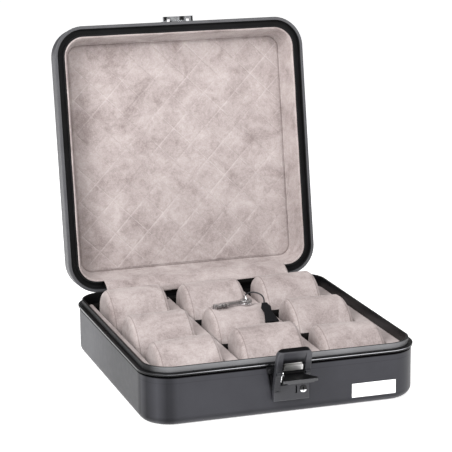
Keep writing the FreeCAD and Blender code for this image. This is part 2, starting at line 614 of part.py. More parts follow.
def lining_loft(kind, extra):
    """Tapered block from rim to ceiling, added or cut away."""
    rim_inset = f"{RIDGE_INNER} + {extra}"
    rim = lining_outline(LINING_BOTTOM, rim_inset, f"dims.corner_radius - ({rim_inset})")
    ceiling = lining_outline(LID_CEILING, f"{rim_inset} + dims.lining_slope",
                             f"dims.panel_radius + dims.panel_gap + dims.lining_thickness - {extra}")
    loft = lid_wall_lining.newObject(kind, "loft")
    loft.Profile = rim
    loft.Sections = [ceiling]
    loft.Ruled = True
    doc.recompute()


lining_loft("PartDesign::AdditiveLoft", "0")
lining_loft("PartDesign::SubtractiveLoft", "dims.lining_thickness")

# Lid panel: padded board glued to the lid's top.
panel_inset = f"({RIDGE_INNER} + dims.lining_thickness + dims.lining_slope + dims.panel_gap)"
lid_panel = new_body("lid_panel", LID_REST)
outline = new_sketch(lid_panel, "XY_Plane", f"{LID_CEILING} - dims.panel_thickness")
rounded_rectangle(outline, f"dims.case_width - 2 * {panel_inset}", f"dims.case_depth - 2 * {panel_inset}",
                  "dims.panel_radius")
block = pad(lid_panel, outline, "dims.panel_thickness")
round_edges(lid_panel, block, "dims.panel_round", at_level(f"{LID_CEILING} - dims.panel_thickness"))

# Hinge flap: suede strip from the lid's lining over the hinge gap down to the tray's ledge.
# Its middle line is drawn through places taken from the lid's lining and the ledge.
flap_thickness = value_of("dims.flap_thickness")
flap_gap = value_of("dims.flap_gap")
lining_face = value_of(f"{BACK} - {RIDGE_INNER} - dims.lining_thickness - dims.flap_gap")
lining_rim = LID_REST.multVec(VECTOR(0, lining_face, value_of(LINING_BOTTOM)))
lining_deep = LID_REST.multVec(VECTOR(0, lining_face - value_of("dims.lining_slope"), value_of(LID_CEILING)))
along_lining = (lining_deep - lining_rim).normalize()
ledge_y = value_of(f"{BACK} - {TONGUE_INNER}") - flap_gap - flap_thickness
ledge_z = value_of(LEDGE) + flap_gap
flap_under = [lining_rim + along_lining * value_of("dims.flap_hold"), lining_rim,
              VECTOR(0, (lining_rim.y + 2 * ledge_y) / 3, (2 * lining_rim.z + ledge_z) / 3),
              VECTOR(0, ledge_y, (lining_rim.z + 2 * ledge_z) / 3), VECTOR(0, ledge_y, ledge_z)]
flap_rise = VECTOR(0, -along_lining.z, along_lining.y) * flap_thickness
flap_over = [point + flap_rise for point in flap_under[:2]]
flap_over += [flap_under[2] + VECTOR(0, -flap_thickness, flap_thickness / 2),
              flap_under[3] + VECTOR(0, -flap_thickness, 0), flap_under[4] + VECTOR(0, -flap_thickness, 0)]
half_flap = value_of("dims.flap_half_width")
flap_outline = Part.makePolygon(flap_under + flap_over[::-1] + flap_under[:1])
flap_outline.translate(VECTOR(-half_flap, 0, 0))
hinge_flap = doc.addObject("Part::Feature", "hinge_flap")
hinge_flap.Shape = Part.Face(flap_outline).extrude(VECTOR(2 * half_flap, 0, 0))
keep(hinge_flap, "hinge_flap")


def side_profile(body, corners):
    """Outline in the YZ plane from corners given as y and z expressions."""
    sketch = new_sketch(body, "YZ_Plane")
    polygon(sketch, corners)
    return sketch


# Hinges: butt hinges with cranked leaves that clear the beads. Base leaf two knuckles, lid leaf one.
leaf_face = f"({BACK} + dims.leaf_thickness)"
knuckle_front = f"({HINGE_Y} - dims.knuckle_radius)"
knuckle_rear = f"({HINGE_Y} + dims.knuckle_radius)"
base_leaf_top = f"({BEAD_BOTTOM} - dims.hinge_clearance)"
lid_leaf_bottom = f"({LID_BEAD_TOP} + dims.hinge_clearance)"


def hinge_leaf(label, plate_edge, upwards, knuckle_length, side, rest):
    """One leaf drawn round the box's middle and then moved to its side."""
    sign = 1 if upwards else -1
    body = new_body(label, FreeCAD.Placement(VECTOR(side * value_of("dims.hinge_spread"), 0, 0),
                                             FreeCAD.Rotation()).multiply(rest))
    far = f"{plate_edge} + {sign} * dims.leaf_height"
    turn = f"{plate_edge} + {sign} * dims.leaf_thickness"
    plate = side_profile(body, [(BACK, plate_edge), (leaf_face, plate_edge), (leaf_face, far), (BACK, far)])
    pad(body, plate, "dims.hinge_length", both_ways=True)
    arm = side_profile(body, [(BACK, plate_edge), (knuckle_front, plate_edge), (knuckle_front, HINGE_Z),
                              (knuckle_rear, HINGE_Z), (knuckle_rear, turn), (BACK, turn)])
    pad(body, arm, knuckle_length, both_ways=True)
    knuckle = new_sketch(body, "YZ_Plane")
    circle(knuckle, HINGE_Y, HINGE_Z, "dims.knuckle_radius")
    pad(body, knuckle, knuckle_length, both_ways=True)
    bore = new_sketch(body, "YZ_Plane")
    circle(bore, HINGE_Y, HINGE_Z, "dims.hinge_pin_radius + dims.pin_play")
    pocket(body, bore, "dims.hinge_length + 2 * dims.cut_over", both_ways=True)
    holes = new_sketch(body, "XZ_Plane")
    for place in (-1, 1):
        circle(holes, f"{place} * dims.leaf_rivet_spread", f"{plate_edge} + {sign} * dims.leaf_rivet_reach",
               "dims.rivet_radius")
    pocket(body, holes, f"{leaf_face} + dims.cut_over")
    return body


NO_TURN = FreeCAD.Placement()
gap_bottom = f"{base_leaf_top} - 2 * dims.leaf_thickness"
gap_top = f"{HINGE_Z} + dims.knuckle_radius + dims.cut_over"
gap_rear = f"{knuckle_rear} + dims.cut_over"
for side, side_name in ((-1, "left"), (1, "right")):
    base_leaf = hinge_leaf(f"hinge_base_leaf_{side_name}", base_leaf_top, False, "dims.hinge_length",
                           side, NO_TURN)
    gap = side_profile(base_leaf, [(leaf_face, gap_bottom), (gap_rear, gap_bottom), (gap_rear, gap_top),
                                   (leaf_face, gap_top)])
    pocket(base_leaf, gap, "dims.lid_knuckle_length + 2 * dims.knuckle_gap", both_ways=True)
    hinge_leaf(f"hinge_lid_leaf_{side_name}", lid_leaf_bottom, True, "dims.lid_knuckle_length",
               side, LID_REST)
    pin = new_body(f"hinge_pin_{side_name}",
                   FreeCAD.Placement(VECTOR(side * value_of("dims.hinge_spread"), 0, 0), FreeCAD.Rotation()))
    section = new_sketch(pin, "YZ_Plane")
    circle(section, HINGE_Y, HINGE_Z, "dims.hinge_pin_radius")
    pad(pin, section, "dims.hinge_length", both_ways=True)


def rivets(label, columns, height, face, inner, at_back, rest=None):
    """Rivets with a low cone head on a face and a shank that ends at the wall's inside."""
    sign = 1 if at_back else -1
    turn = FreeCAD.Rotation(VECTOR(1, 0, 0), -90 * sign)
    members = []
    for column in columns:
        head = doc.addObject("Part::Cone", "head")
        shank = doc.addObject("Part::Cylinder", "shank")
        sizes = ((head, "Radius1", "dims.rivet_head_radius"), (head, "Radius2", "dims.rivet_crown_radius"),
                 (head, "Height", "dims.rivet_head_height"), (shank, "Radius", "dims.rivet_radius"),
                 (shank, "Height", f"{face} - {inner}"))
        for piece, name, expression in sizes:
            piece.setExpression(name, expression)
        for piece, start in ((head, face), (shank, inner)):
            piece.Placement = FreeCAD.Placement(VECTOR(), turn)
            for name, expression in (("x", column), ("y", f"{sign} * ({start})"), ("z", height)):
                piece.setExpression(f"Placement.Base.{name}", expression)
        rivet = doc.addObject("Part::Fuse", "rivet")
        rivet.Base = head
        rivet.Tool = shank
        members.append(rivet)
    return group(label, members, rest)


inside_face = f"({BACK} - dims.wall)"
rivets("hinge_base_rivets", rivet_columns, leaf_middle_base, leaf_face, inside_face, True)
rivets("hinge_lid_rivets", rivet_columns, leaf_middle_lid, leaf_face, inside_face, True, LID_REST)
rivets("latch_rivets", latch_rivet_columns, latch_rivet_height, f"({FRONT} + dims.plate_thickness)",
       inside_face, False)
rivets("keeper_rivets", keeper_rivet_columns, keeper_rivet_height, f"({FRONT} + dims.keeper_plate)",
       inside_face, False, LID_REST)


def out_by(distance):
    """y expression of a point that stands out from the shell's front."""
    return f"-{FRONT} - ({distance})"


# Latch plate: tapered plate riveted to the base's front, with two ears for the cover's pin.
latch_plate = new_body("latch_plate")
plate_top = f"({BEAD_BOTTOM} - dims.plate_top_gap)"
outline = new_sketch(latch_plate, "XZ_Plane", FRONT)
plate_bottom = "dims.base_height - dims.plate_drop"
polygon(outline, [("-dims.plate_bottom_half", plate_bottom), ("dims.plate_bottom_half", plate_bottom),
                  ("dims.plate_top_half", plate_top), ("-dims.plate_top_half", plate_top)])
for column in latch_rivet_columns:
    circle(outline, column, latch_rivet_height, "dims.rivet_radius")
pad(latch_plate, outline, "dims.plate_thickness")
for side in (-1, 1):
    ear_middle = f"{side} * (dims.ear_inner + dims.ear_thickness / 2)"
    ear = new_sketch(latch_plate, "YZ_Plane", ear_middle)
    rectangle(ear, out_by("dims.pivot_out"), f"{PIVOT_Z} - dims.ear_radius", out_by("dims.plate_thickness"),
              f"{PIVOT_Z} + dims.ear_radius")
    pad(latch_plate, ear, "dims.ear_thickness", both_ways=True)
    round_end = new_sketch(latch_plate, "YZ_Plane", ear_middle)
    circle(round_end, out_by("dims.pivot_out"), PIVOT_Z, "dims.ear_radius")
    pad(latch_plate, round_end, "dims.ear_thickness", both_ways=True)
bore = new_sketch(latch_plate, "YZ_Plane")
circle(bore, out_by("dims.pivot_out"), PIVOT_Z, "dims.pivot_pin_radius + dims.pin_play")
pocket(latch_plate, bore, "2 * dims.cover_half", both_ways=True)

# Cover's pin: headless, held by the ears, with the cover's legs on its ends.
latch_pivot_pin = new_body("latch_pivot_pin")
section = new_sketch(latch_pivot_pin, "YZ_Plane")
circle(section, out_by("dims.pivot_out"), PIVOT_Z, "dims.pivot_pin_radius")
pad(latch_pivot_pin, section, "2 * (dims.cover_half - dims.pin_set_back)", both_ways=True)

# Latch cover: cast arch with two legs, a lintel with a sloped face, and bosses for the lever's pin.
latch_cover = new_body("latch_cover", COVER_REST)
outline = new_sketch(latch_cover, "XZ_Plane", f"{FRONT} + dims.cover_back")
left_leg = "dims.base_height - dims.left_leg_drop"
right_leg = "dims.base_height - dims.right_leg_drop"
polygon(outline, [("-dims.cover_half", left_leg), ("-dims.cover_inner_half", left_leg),
                  ("-dims.cover_inner_half", LINTEL_BOTTOM), ("dims.cover_inner_half", LINTEL_BOTTOM),
                  ("dims.cover_inner_half", right_leg), ("dims.cover_half", right_leg),
                  ("dims.cover_half", COVER_TOP), ("-dims.cover_half", COVER_TOP)])
arch = pad(latch_cover, outline, "dims.cover_front - dims.cover_back")


def corner_at(height):
    """Test for front-to-back edges at one height."""
    return lambda box: abs(box.ZMin - height) < TOUCH and box.XLength < TOUCH and box.ZLength < TOUCH


cover_top = value_of(COVER_TOP)
cover_half = value_of("dims.cover_half")
rounded = round_edges(latch_cover, arch, "dims.cover_corner", corner_at(cover_top))
cover_face = value_of(out_by("dims.cover_front"))
round_edges(latch_cover, rounded, "dims.cover_round",
            lambda box: abs(box.YMin - cover_face) < TOUCH and box.YLength < TOUCH
            and max(abs(box.XMin), abs(box.XMax)) > cover_half - TOUCH)
for side in (-1, 1):
    leg_middle = f"{side} * (dims.cover_half + dims.cover_inner_half) / 2"
    boss = new_sketch(latch_cover, "YZ_Plane", leg_middle)
    circle(boss, out_by("dims.lever_pivot_out"), LEVER_PIVOT_Z, "dims.lever_boss")
    pad(latch_cover, boss, "dims.lever_boss_length", both_ways=True)
below_lintel = f"{LINTEL_BOTTOM} - dims.cut_over"
before_face = out_by("dims.cover_front + dims.cut_over")
behind_back = out_by("dims.cover_back - dims.cut_over")
slope = side_profile(latch_cover, [(out_by("dims.lintel_edge"), below_lintel),
                                   (out_by("dims.lintel_edge"), LINTEL_BOTTOM),
                                   (out_by("dims.cover_front"), LINTEL_LIP),
                                   (before_face, LINTEL_LIP), (before_face, below_lintel)])
pocket(latch_cover, slope, "2 * dims.cover_inner_half", both_ways=True)
seat = side_profile(latch_cover, [(behind_back, below_lintel), (out_by(HOOK_FACE), below_lintel),
                                  (out_by(HOOK_FACE), CLAW_TOP), (behind_back, CLAW_TOP)])
pocket(latch_cover, seat, "2 * dims.hook_half", both_ways=True)
for out, height, radius in (("dims.pivot_out", PIVOT_Z, "dims.pivot_pin_radius"),
                            ("dims.lever_pivot_out", LEVER_PIVOT_Z, "dims.lever_pin_radius")):
    bore = new_sketch(latch_cover, "YZ_Plane")
    circle(bore, out_by(out), height, f"{radius} + dims.pin_play")
    pocket(latch_cover, bore, "2 * (dims.cover_half - dims.bore_set_back)", both_ways=True)

# Latch hook: nickel plate seated in the lintel's back, with a claw for the keeper and a block that shows.
latch_hook = new_body("latch_hook", COVER_REST)
hook_bottom = f"({CLAW_TOP} - dims.hook_height)"
claw_tip = f"({HOOK_BACK} - dims.claw_reach)"
block_face = "(dims.cover_front - dims.hook_gap)"
profile = side_profile(latch_hook, [(out_by(HOOK_BACK), hook_bottom), (out_by(block_face), hook_bottom),
                                    (out_by(block_face), f"{hook_bottom} + dims.hook_block"),
                                    (out_by(HOOK_FACE), f"{hook_bottom} + dims.hook_block"),
                                    (out_by(HOOK_FACE), CLAW_TOP), (out_by(claw_tip), CLAW_TOP),
                                    (out_by(claw_tip), CLAW_BOTTOM), (out_by(HOOK_BACK), CLAW_BOTTOM)])
pad(latch_hook, profile, "2 * dims.hook_half", both_ways=True)

# Lever: folded plate with a barrel on its pin, flared to a finger lip at its tip.
latch_lever = new_body("latch_lever", LEVER_REST)
flare_start = f"({LEVER_PIVOT_Z} + dims.lever_flare_start)"
tip_start = f"({LEVER_PIVOT_Z} + dims.lever_length - dims.lever_tip_run)"
tip_end = f"({LEVER_PIVOT_Z} + dims.lever_length)"
outline = new_sketch(latch_lever, "XZ_Plane", f"{FRONT} + {LEVER_BACK}")
polygon(outline, [("-dims.lever_root_half", LEVER_PIVOT_Z), ("dims.lever_root_half", LEVER_PIVOT_Z),
                  ("dims.lever_root_half", flare_start), ("dims.lever_tip_half", tip_start),
                  ("dims.lever_tip_half", tip_end), ("-dims.lever_tip_half", tip_end),
                  ("-dims.lever_tip_half", tip_start), ("-dims.lever_root_half", flare_start)])
plate = pad(latch_lever, outline, "dims.lever_thickness")
tip_height = value_of(tip_end)
round_edges(latch_lever, plate, "dims.lever_tip_round", corner_at(tip_height))
lip_face = out_by(f"{LEVER_FACE} + dims.lever_lip")
lip = side_profile(latch_lever, [(out_by(LEVER_FACE), f"{tip_end} - dims.lever_thickness"),
                                 (lip_face, f"{tip_end} - dims.lever_thickness / 2"),
                                 (lip_face, tip_end), (out_by(LEVER_FACE), tip_end)])
pad(latch_lever, lip, "2 * (dims.lever_tip_half - dims.lever_tip_run)", both_ways=True)
barrel = new_sketch(latch_lever, "YZ_Plane")
circle(barrel, out_by("dims.lever_pivot_out"), LEVER_PIVOT_Z, "dims.lever_barrel")
pad(latch_lever, barrel, "2 * dims.lever_root_half", both_ways=True)
bore = new_sketch(latch_lever, "YZ_Plane")
circle(bore, out_by("dims.lever_pivot_out"), LEVER_PIVOT_Z, "dims.lever_pin_radius + dims.pin_play")
pocket(latch_lever, bore, "2 * dims.cover_half", both_ways=True)

# Lever's pin, fixed in the cover's legs.
lever_pin = new_body("lever_pin", COVER_REST)
section = new_sketch(lever_pin, "YZ_Plane")
circle(section, out_by("dims.lever_pivot_out"), LEVER_PIVOT_Z, "dims.lever_pin_radius")
pad(lever_pin, section, "2 * (dims.cover_half - dims.pin_set_back)", both_ways=True)

# Latch spring: bright wire with an eye on the lever's pin and an arm down the left leg.
latch_spring = new_body("latch_spring", COVER_REST)
spring_side = "-(dims.cover_inner_half + dims.lever_root_half) / 2"
eye = new_sketch(latch_spring, "YZ_Plane", spring_side)
circle(eye, out_by("dims.lever_pivot_out"), LEVER_PIVOT_Z, "dims.spring_eye + dims.spring_wire / 2")
circle(eye, out_by("dims.lever_pivot_out"), LEVER_PIVOT_Z, "dims.spring_eye - dims.spring_wire / 2")
pad(latch_spring, eye, "dims.spring_wire", both_ways=True)
arm = new_sketch(latch_spring, "YZ_Plane", spring_side)
rectangle(arm, out_by("dims.lever_pivot_out - dims.spring_eye + dims.spring_wire / 2"),
          f"{LEVER_PIVOT_Z} - dims.spring_length",
          out_by("dims.lever_pivot_out - dims.spring_eye - dims.spring_wire / 2"), LEVER_PIVOT_Z)
pad(latch_spring, arm, "dims.spring_wire", both_ways=True)

# Lock case: stepped block on the plate, with a slot and a bore for the cylinder.
lock_case = new_body("lock_case")
lock_face = "(dims.plate_thickness + dims.lock_thickness)"
outline = new_sketch(lock_case, "XZ_Plane", f"{FRONT} + dims.plate_thickness")
lock_bottom = "dims.base_height - dims.lock_bottom_drop"
lock_shoulder = "dims.base_height - dims.lock_shoulder_drop"
lock_top = "dims.base_height - dims.lock_top_drop"
polygon(outline, [("dims.lock_left", lock_bottom), ("dims.lock_right", lock_bottom),
                  ("dims.lock_right", lock_top), ("dims.lock_step", lock_top),
                  ("dims.lock_step", lock_shoulder), ("dims.lock_left", lock_shoulder)])
block = pad(lock_case, outline, "dims.lock_thickness")
lock_front = value_of(out_by(lock_face))
round_edges(lock_case, block, "dims.lock_round",
            lambda box: abs(box.YMin - lock_front) < TOUCH and box.YLength < TOUCH)
slot = new_sketch(lock_case, "XZ_Plane", f"{FRONT} + {lock_face}")
rectangle(slot, "dims.slot_middle - dims.slot_width / 2", f"{CYLINDER_Z} - dims.slot_length / 2",
          "dims.slot_middle + dims.slot_width / 2", f"{CYLINDER_Z} + dims.slot_length / 2")
pocket(lock_case, slot, "dims.slot_depth")
bore = new_sketch(lock_case, "XZ_Plane", f"{FRONT} + {lock_face}")
circle(bore, "dims.cylinder_side", CYLINDER_Z, "dims.cylinder_radius + dims.pin_play")
pocket(lock_case, bore, "dims.cylinder_depth")

# Lock cylinder: nickel, with a keyway.
lock_cylinder = new_body("lock_cylinder")
section = new_sketch(lock_cylinder, "XZ_Plane",
                     f"{FRONT} + {lock_face} - dims.cylinder_depth + dims.pin_play")
circle(section, "dims.cylinder_side", CYLINDER_Z, "dims.cylinder_radius")
pad(lock_cylinder, section, "dims.cylinder_depth + dims.cylinder_proud - dims.pin_play")
keyway = new_sketch(lock_cylinder, "XZ_Plane", f"{FRONT} + {lock_face} + dims.cylinder_proud")
rectangle(keyway, "dims.cylinder_side - dims.keyway_width / 2", f"{CYLINDER_Z} - dims.keyway_length / 2",
          "dims.cylinder_side + dims.keyway_width / 2", f"{CYLINDER_Z} + dims.keyway_length / 2")
pocket(lock_cylinder, keyway, "dims.keyway_depth")

# Keeper: chromed flange on the lid's front, with a slotted shelf and a lip that the claw holds.
keeper = new_body("keeper", LID_REST)
flange = new_sketch(keeper, "XZ_Plane", FRONT)
rectangle(flange, "-dims.keeper_width / 2", KEEPER_BOTTOM, "dims.keeper_width / 2",
          f"{KEEPER_BOTTOM} + dims.keeper_height")
for column in keeper_rivet_columns:
    circle(flange, column, keeper_rivet_height, "dims.rivet_radius")
pad(keeper, flange, "dims.keeper_plate")
shelf_root = out_by("dims.keeper_plate")
shelf_face = out_by("dims.shelf_reach")
lip_back = out_by("dims.shelf_reach - dims.lip_width")
shelf_top = f"{SHELF_BOTTOM} + dims.shelf_thickness"
shelf = side_profile(keeper, [(shelf_root, SHELF_BOTTOM), (shelf_face, SHELF_BOTTOM), (shelf_face, LIP_TOP),
                              (lip_back, LIP_TOP), (lip_back, shelf_top), (shelf_root, shelf_top)])
pad(keeper, shelf, "2 * dims.shelf_half", both_ways=True)
slots = new_sketch(keeper, "XY_Plane", shelf_top)
for side in (-1, 1):
    rectangle(slots, f"{side} * dims.shelf_slot_middle - dims.shelf_slot / 2", lip_back,
              f"{side} * dims.shelf_slot_middle + dims.shelf_slot / 2", shelf_root)
pocket(keeper, slots, "dims.shelf_thickness + dims.cut_over")

# Name plate: blank white plate on the base's front.
name_plate = new_body("name_plate")
outline = new_sketch(name_plate, "XZ_Plane", FRONT)
name_plate_right = "(dims.case_width / 2 - dims.name_plate_margin)"
rectangle(outline, f"{name_plate_right} - dims.name_plate_width", "dims.name_plate_bottom", name_plate_right,
          "dims.name_plate_bottom + dims.name_plate_height")
pad(name_plate, outline, "dims.name_plate_thickness")


# Keys: flat steel keys drawn along +X from the bow's middle, one on the other on the middle pillow.
def make_key(label, placement):
    body = new_body(label, placement)
    tip = "-(dims.key_length - dims.key_bow)"
    half_shank = "dims.key_shank / 2"
    bit_edge = "dims.key_shank / 2 - dims.key_bit"
    shank = new_sketch(body, "XY_Plane")
    rectangle(shank, tip, f"-{half_shank}", "0", half_shank)
    pad(body, shank, "dims.key_thickness")
    bit = new_sketch(body, "XY_Plane")
    rectangle(bit, f"{tip} + dims.key_tooth", bit_edge, f"{tip} + dims.key_tooth + dims.key_bit_length", "0")
    pad(body, bit, "dims.key_thickness")
    cuts = new_sketch(body, "XY_Plane")
    for number in (1, 2):
        start = f"{tip} + dims.key_tooth + {number} * dims.key_bit_length / 3 - dims.key_tooth / 2"
        rectangle(cuts, start, f"{bit_edge} - dims.cut_over", f"{start} + dims.key_tooth", f"-{half_shank}")
    pocket(body, cuts, "2 * (dims.key_thickness + dims.cut_over)", both_ways=True)
    bow = new_sketch(body, "XY_Plane")
    circle(bow, "0", "0", "dims.key_bow")
    pad(body, bow, "dims.key_thickness")
    hole = new_sketch(body, "XY_Plane")
    circle(hole, "0", "0", "dims.key_bow_hole")
    pocket(body, hole, "2 * (dims.key_thickness + dims.cut_over)", both_ways=True)


crown = value_of(PILLOW_CROWN)
lower_level = crown + value_of("dims.key_gap")
upper_level = lower_level + value_of("dims.key_thickness + dims.key_gap")
for label, level, turn in (("key_lower", lower_level, "dims.key_turn_lower"),
                           ("key_upper", upper_level, "dims.key_turn_upper")):
    bow_place = VECTOR(value_of("dims.bow_side"), value_of("dims.bow_back"), level)
    make_key(label, FreeCAD.Placement(bow_place, FreeCAD.Rotation(VECTOR(0, 0, 1), value_of(turn))))

# Key ring: small round wire that stands through both keys' bows.
ring_centre = VECTOR(value_of("dims.bow_side"), value_of("dims.bow_back + dims.ring_offset"),
                     upper_level + value_of("dims.ring_lift - dims.key_gap / 2"))
key_ring = doc.addObject("Part::Torus", "key_ring")
key_ring.setExpression("Radius1", "dims.ring_radius")
key_ring.setExpression("Radius2", "dims.ring_wire")
keep(key_ring, "key_ring", FreeCAD.Placement(ring_centre, FreeCAD.Rotation(VECTOR(0, 1, 0), 90)))

# Tag: flat black piece on the pillow's front slope, six-sided head up, flared foot down.
key_tag = new_body("key_tag")
outline = new_sketch(key_tag, "XY_Plane")
right_side = [("dims.tag_top_half", "0"), ("dims.tag_head_half", "-dims.tag_head_length / 2"),
              ("dims.tag_neck_half", "-dims.tag_head_length"), ("dims.tag_foot_half", "-dims.tag_length")]
polygon(outline, right_side + [(f"-{x}", y) for x, y in reversed(right_side)])
pad(key_tag, outline, "dims.tag_thickness")
tag_lean = math.radians(value_of("dims.tag_angle"))
slope_radius = pillow_depth / 2 + value_of("dims.key_gap")
slope_up = VECTOR(0, math.cos(tag_lean), math.sin(tag_lean))
slope_out = VECTOR(0, -math.sin(tag_lean), math.cos(tag_lean))
touch_point = VECTOR(value_of("dims.tag_side"), 0, crown - pillow_depth / 2) + slope_out * slope_radius
tag_top = touch_point + slope_up * value_of("dims.tag_above")
key_tag.Placement = FreeCAD.Placement(tag_top, FreeCAD.Rotation(VECTOR(1, 0, 0), math.degrees(tag_lean)))

# Cord: thin cord from the ring in an arc through the air and down to the tag's head.
cord_radius = value_of("dims.cord_radius")
CORD_POINTS = [VECTOR(9.0, 11.5, 65.4), VECTOR(14.0, 15.6, 66.3), VECTOR(20.0, 15.2, 66.2),
               VECTOR(24.4, 9.6, 64.8), VECTOR(24.4, 2.8, 62.4), VECTOR(22.0, -3.4, 60.5)]


ARC_SHARE = 0.45


def cord_tube(points, radius):
    """Round tube along straight runs joined by tangent arcs as large as the runs allow."""
    edges = []
    start = points[0]
    for before, corner, after in zip(points, points[1:], points[2:]):
        arriving = corner - before
        leaving = after - corner
        turn = arriving.getAngle(leaving)
        reach = ARC_SHARE * min(arriving.Length, leaving.Length)
        into = corner - arriving.normalize() * reach
        out = corner + leaving.normalize() * reach
        arc_radius = reach / math.tan(turn / 2)
        middle = (into + out) * 0.5
        inward = (middle - corner).normalize()
        apex = corner + inward * (arc_radius / math.cos(turn / 2) - arc_radius)
        edges += [Part.makeLine(start, into), Part.Arc(into, apex, out).toShape()]
        start = out
        print(f"cord arc radius {arc_radius:.1f}")
    edges.append(Part.makeLine(start, points[-1]))
    path = Part.Wire(edges)
    profile = Part.Wire([Part.makeCircle(radius, points[0], points[1] - points[0])])
    tube = path.makePipeShell([profile], True, False)
    print(f"cord volume {tube.Volume:.2f}, section times length {math.pi * radius ** 2 * path.Length:.2f}")
    return tube


key_cord = doc.addObject("Part::Feature", "key_cord")
key_cord.Shape = cord_tube(CORD_POINTS, cord_radius)
keep(key_cord, "key_cord")

doc.recompute()
for item in doc.Objects:
    if "Invalid" in item.State or "Error" in item.State:
        raise RuntimeError(f"{item.Label} failed: {item.State}")
for piece in pieces:
    if piece.Shape.isNull() or not piece.Shape.isValid() or not piece.Shape.Solids:
        raise RuntimeError(f"{piece.Label} has no valid solid")

os.makedirs("parts", exist_ok=True)
for piece in pieces:
    piece.Shape.exportStep(f"parts/{piece.Label}.step")
    box = piece.Shape.BoundBox
    print(f"{piece.Label}: {len(piece.Shape.Solids)} solid, {piece.Shape.Volume:.0f} mm3, "
          f"x {box.XMin:.1f} {box.XMax:.1f} y {box.YMin:.1f} {box.YMax:.1f} z {box.ZMin:.1f} {box.ZMax:.1f}")
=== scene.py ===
import bmesh
import bpy
import math
from mathutils import Matrix, Vector, noise


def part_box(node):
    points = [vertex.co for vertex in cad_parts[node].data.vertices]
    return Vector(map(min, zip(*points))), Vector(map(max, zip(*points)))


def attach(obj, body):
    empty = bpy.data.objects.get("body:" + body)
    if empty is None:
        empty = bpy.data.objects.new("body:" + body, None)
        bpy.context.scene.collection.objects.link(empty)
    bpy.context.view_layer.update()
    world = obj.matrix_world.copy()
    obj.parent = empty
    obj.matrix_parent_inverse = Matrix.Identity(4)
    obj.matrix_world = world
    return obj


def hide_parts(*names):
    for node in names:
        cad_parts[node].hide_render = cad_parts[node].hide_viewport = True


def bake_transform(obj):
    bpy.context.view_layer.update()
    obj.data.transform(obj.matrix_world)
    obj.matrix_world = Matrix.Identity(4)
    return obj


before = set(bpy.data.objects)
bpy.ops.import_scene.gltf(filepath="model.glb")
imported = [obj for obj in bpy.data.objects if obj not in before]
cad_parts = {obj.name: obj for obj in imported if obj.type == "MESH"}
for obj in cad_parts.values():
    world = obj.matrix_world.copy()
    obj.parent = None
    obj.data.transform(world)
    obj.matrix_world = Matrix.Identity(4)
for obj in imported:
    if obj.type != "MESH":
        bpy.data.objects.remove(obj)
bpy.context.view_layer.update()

# Base shell: one sheet of aluminium drawn into a shallow tray with soft corners and anodised dark grey.
# The film has a soft gloss and is a little uneven. Painted shade darkens a strip just under the bead, and a
# soft band low down and a thin line across the wall are darker. Painted reflections lay two dark bands round
# the front left corner and darken the left wall towards the front, where the real one mirrors darker
# surroundings.
MM = 0.001
PLAIN_GLOSS = 0.5
BASE_GLOSS, LID_GLOSS = 0.18, 0.42


def object_place(tree, stretch=(1, 1, 1)):
    """Object coordinates, stretched."""
    coordinates = tree.nodes.new("ShaderNodeTexCoord")
    mapping = tree.nodes.new("ShaderNodeMapping")
    mapping.inputs["Scale"].default_value = stretch
    tree.links.new(coordinates.outputs["Object"], mapping.inputs["Vector"])
    return mapping.outputs["Vector"]


def cloud(tree, grain, detail=3.0, roughness=0.55, distortion=0.0, stretch=(1, 1, 1)):
    """Noise whose grain is given as a length."""
    node = tree.nodes.new("ShaderNodeTexNoise")
    for name, value in (("Scale", 1 / grain), ("Detail", detail), ("Roughness", roughness),
                        ("Distortion", distortion)):
        node.inputs[name].default_value = value
    tree.links.new(object_place(tree, stretch), node.inputs["Vector"])
    return node.outputs["Fac"]


def graded(tree, factor, *stops):
    """Colour ramp through (place, colour) stops."""
    node = tree.nodes.new("ShaderNodeValToRGB")
    ramp = node.color_ramp
    while len(ramp.elements) < len(stops):
        ramp.elements.new(0.5)
    for element, (place, colour) in zip(ramp.elements, stops):
        element.position = place
        element.color = (*colour, 1)
    tree.links.new(factor, node.inputs["Fac"])
    return node.outputs["Color"]


def tones(tree, factor, *stops):
    """Grey ramp through (place, tone) stops."""
    return graded(tree, factor, *((place, (tone, tone, tone)) for place, tone in stops))


def ranged(tree, factor, low, high):
    """A factor around one half spread between two values."""
    node = tree.nodes.new("ShaderNodeMapRange")
    for name, value in (("From Min", 0.3), ("From Max", 0.7), ("To Min", low), ("To Max", high)):
        node.inputs[name].default_value = value
    tree.links.new(factor, node.inputs["Value"])
    return node.outputs["Result"]


def along(tree, axis, low, high):
    """Factor that runs from 0 to 1 between two places on one axis."""
    split = tree.nodes.new("ShaderNodeSeparateXYZ")
    tree.links.new(object_place(tree), split.inputs["Vector"])
    node = tree.nodes.new("ShaderNodeMapRange")
    node.inputs["From Min"].default_value = low
    node.inputs["From Max"].default_value = high
    tree.links.new(split.outputs[axis], node.inputs["Value"])
    return node.outputs["Result"]


def raised(tree, shader, *layers):
    """Bump from (factor, height) layers, laid one on another."""
    normal = None
    for factor, height in layers:
        node = tree.nodes.new("ShaderNodeBump")
        node.inputs["Strength"].default_value = 1
        node.inputs["Distance"].default_value = height
        tree.links.new(factor, node.inputs["Height"])
        if normal is not None:
            tree.links.new(normal, node.inputs["Normal"])
        normal = node.outputs["Normal"]
    tree.links.new(normal, shader.inputs["Normal"])


def mixed(tree, first, second, share=1, blend="MIX"):
    """Two colours mixed by a share; each may be fixed or come from another node."""
    node = tree.nodes.new("ShaderNodeMix")
    node.data_type, node.blend_type = "RGBA", blend
    for socket, source in (("Factor", share), ("A", first), ("B", second)):
        if isinstance(source, bpy.types.NodeSocket):
            tree.links.new(source, node.inputs[socket])
        else:
            node.inputs[socket].default_value = source
    return node.outputs["Result"]


def times(tree, colour, tone, share=1):
    """Colour multiplied by a tone, all over or by a share."""
    return mixed(tree, colour, tone, share, "MULTIPLY")


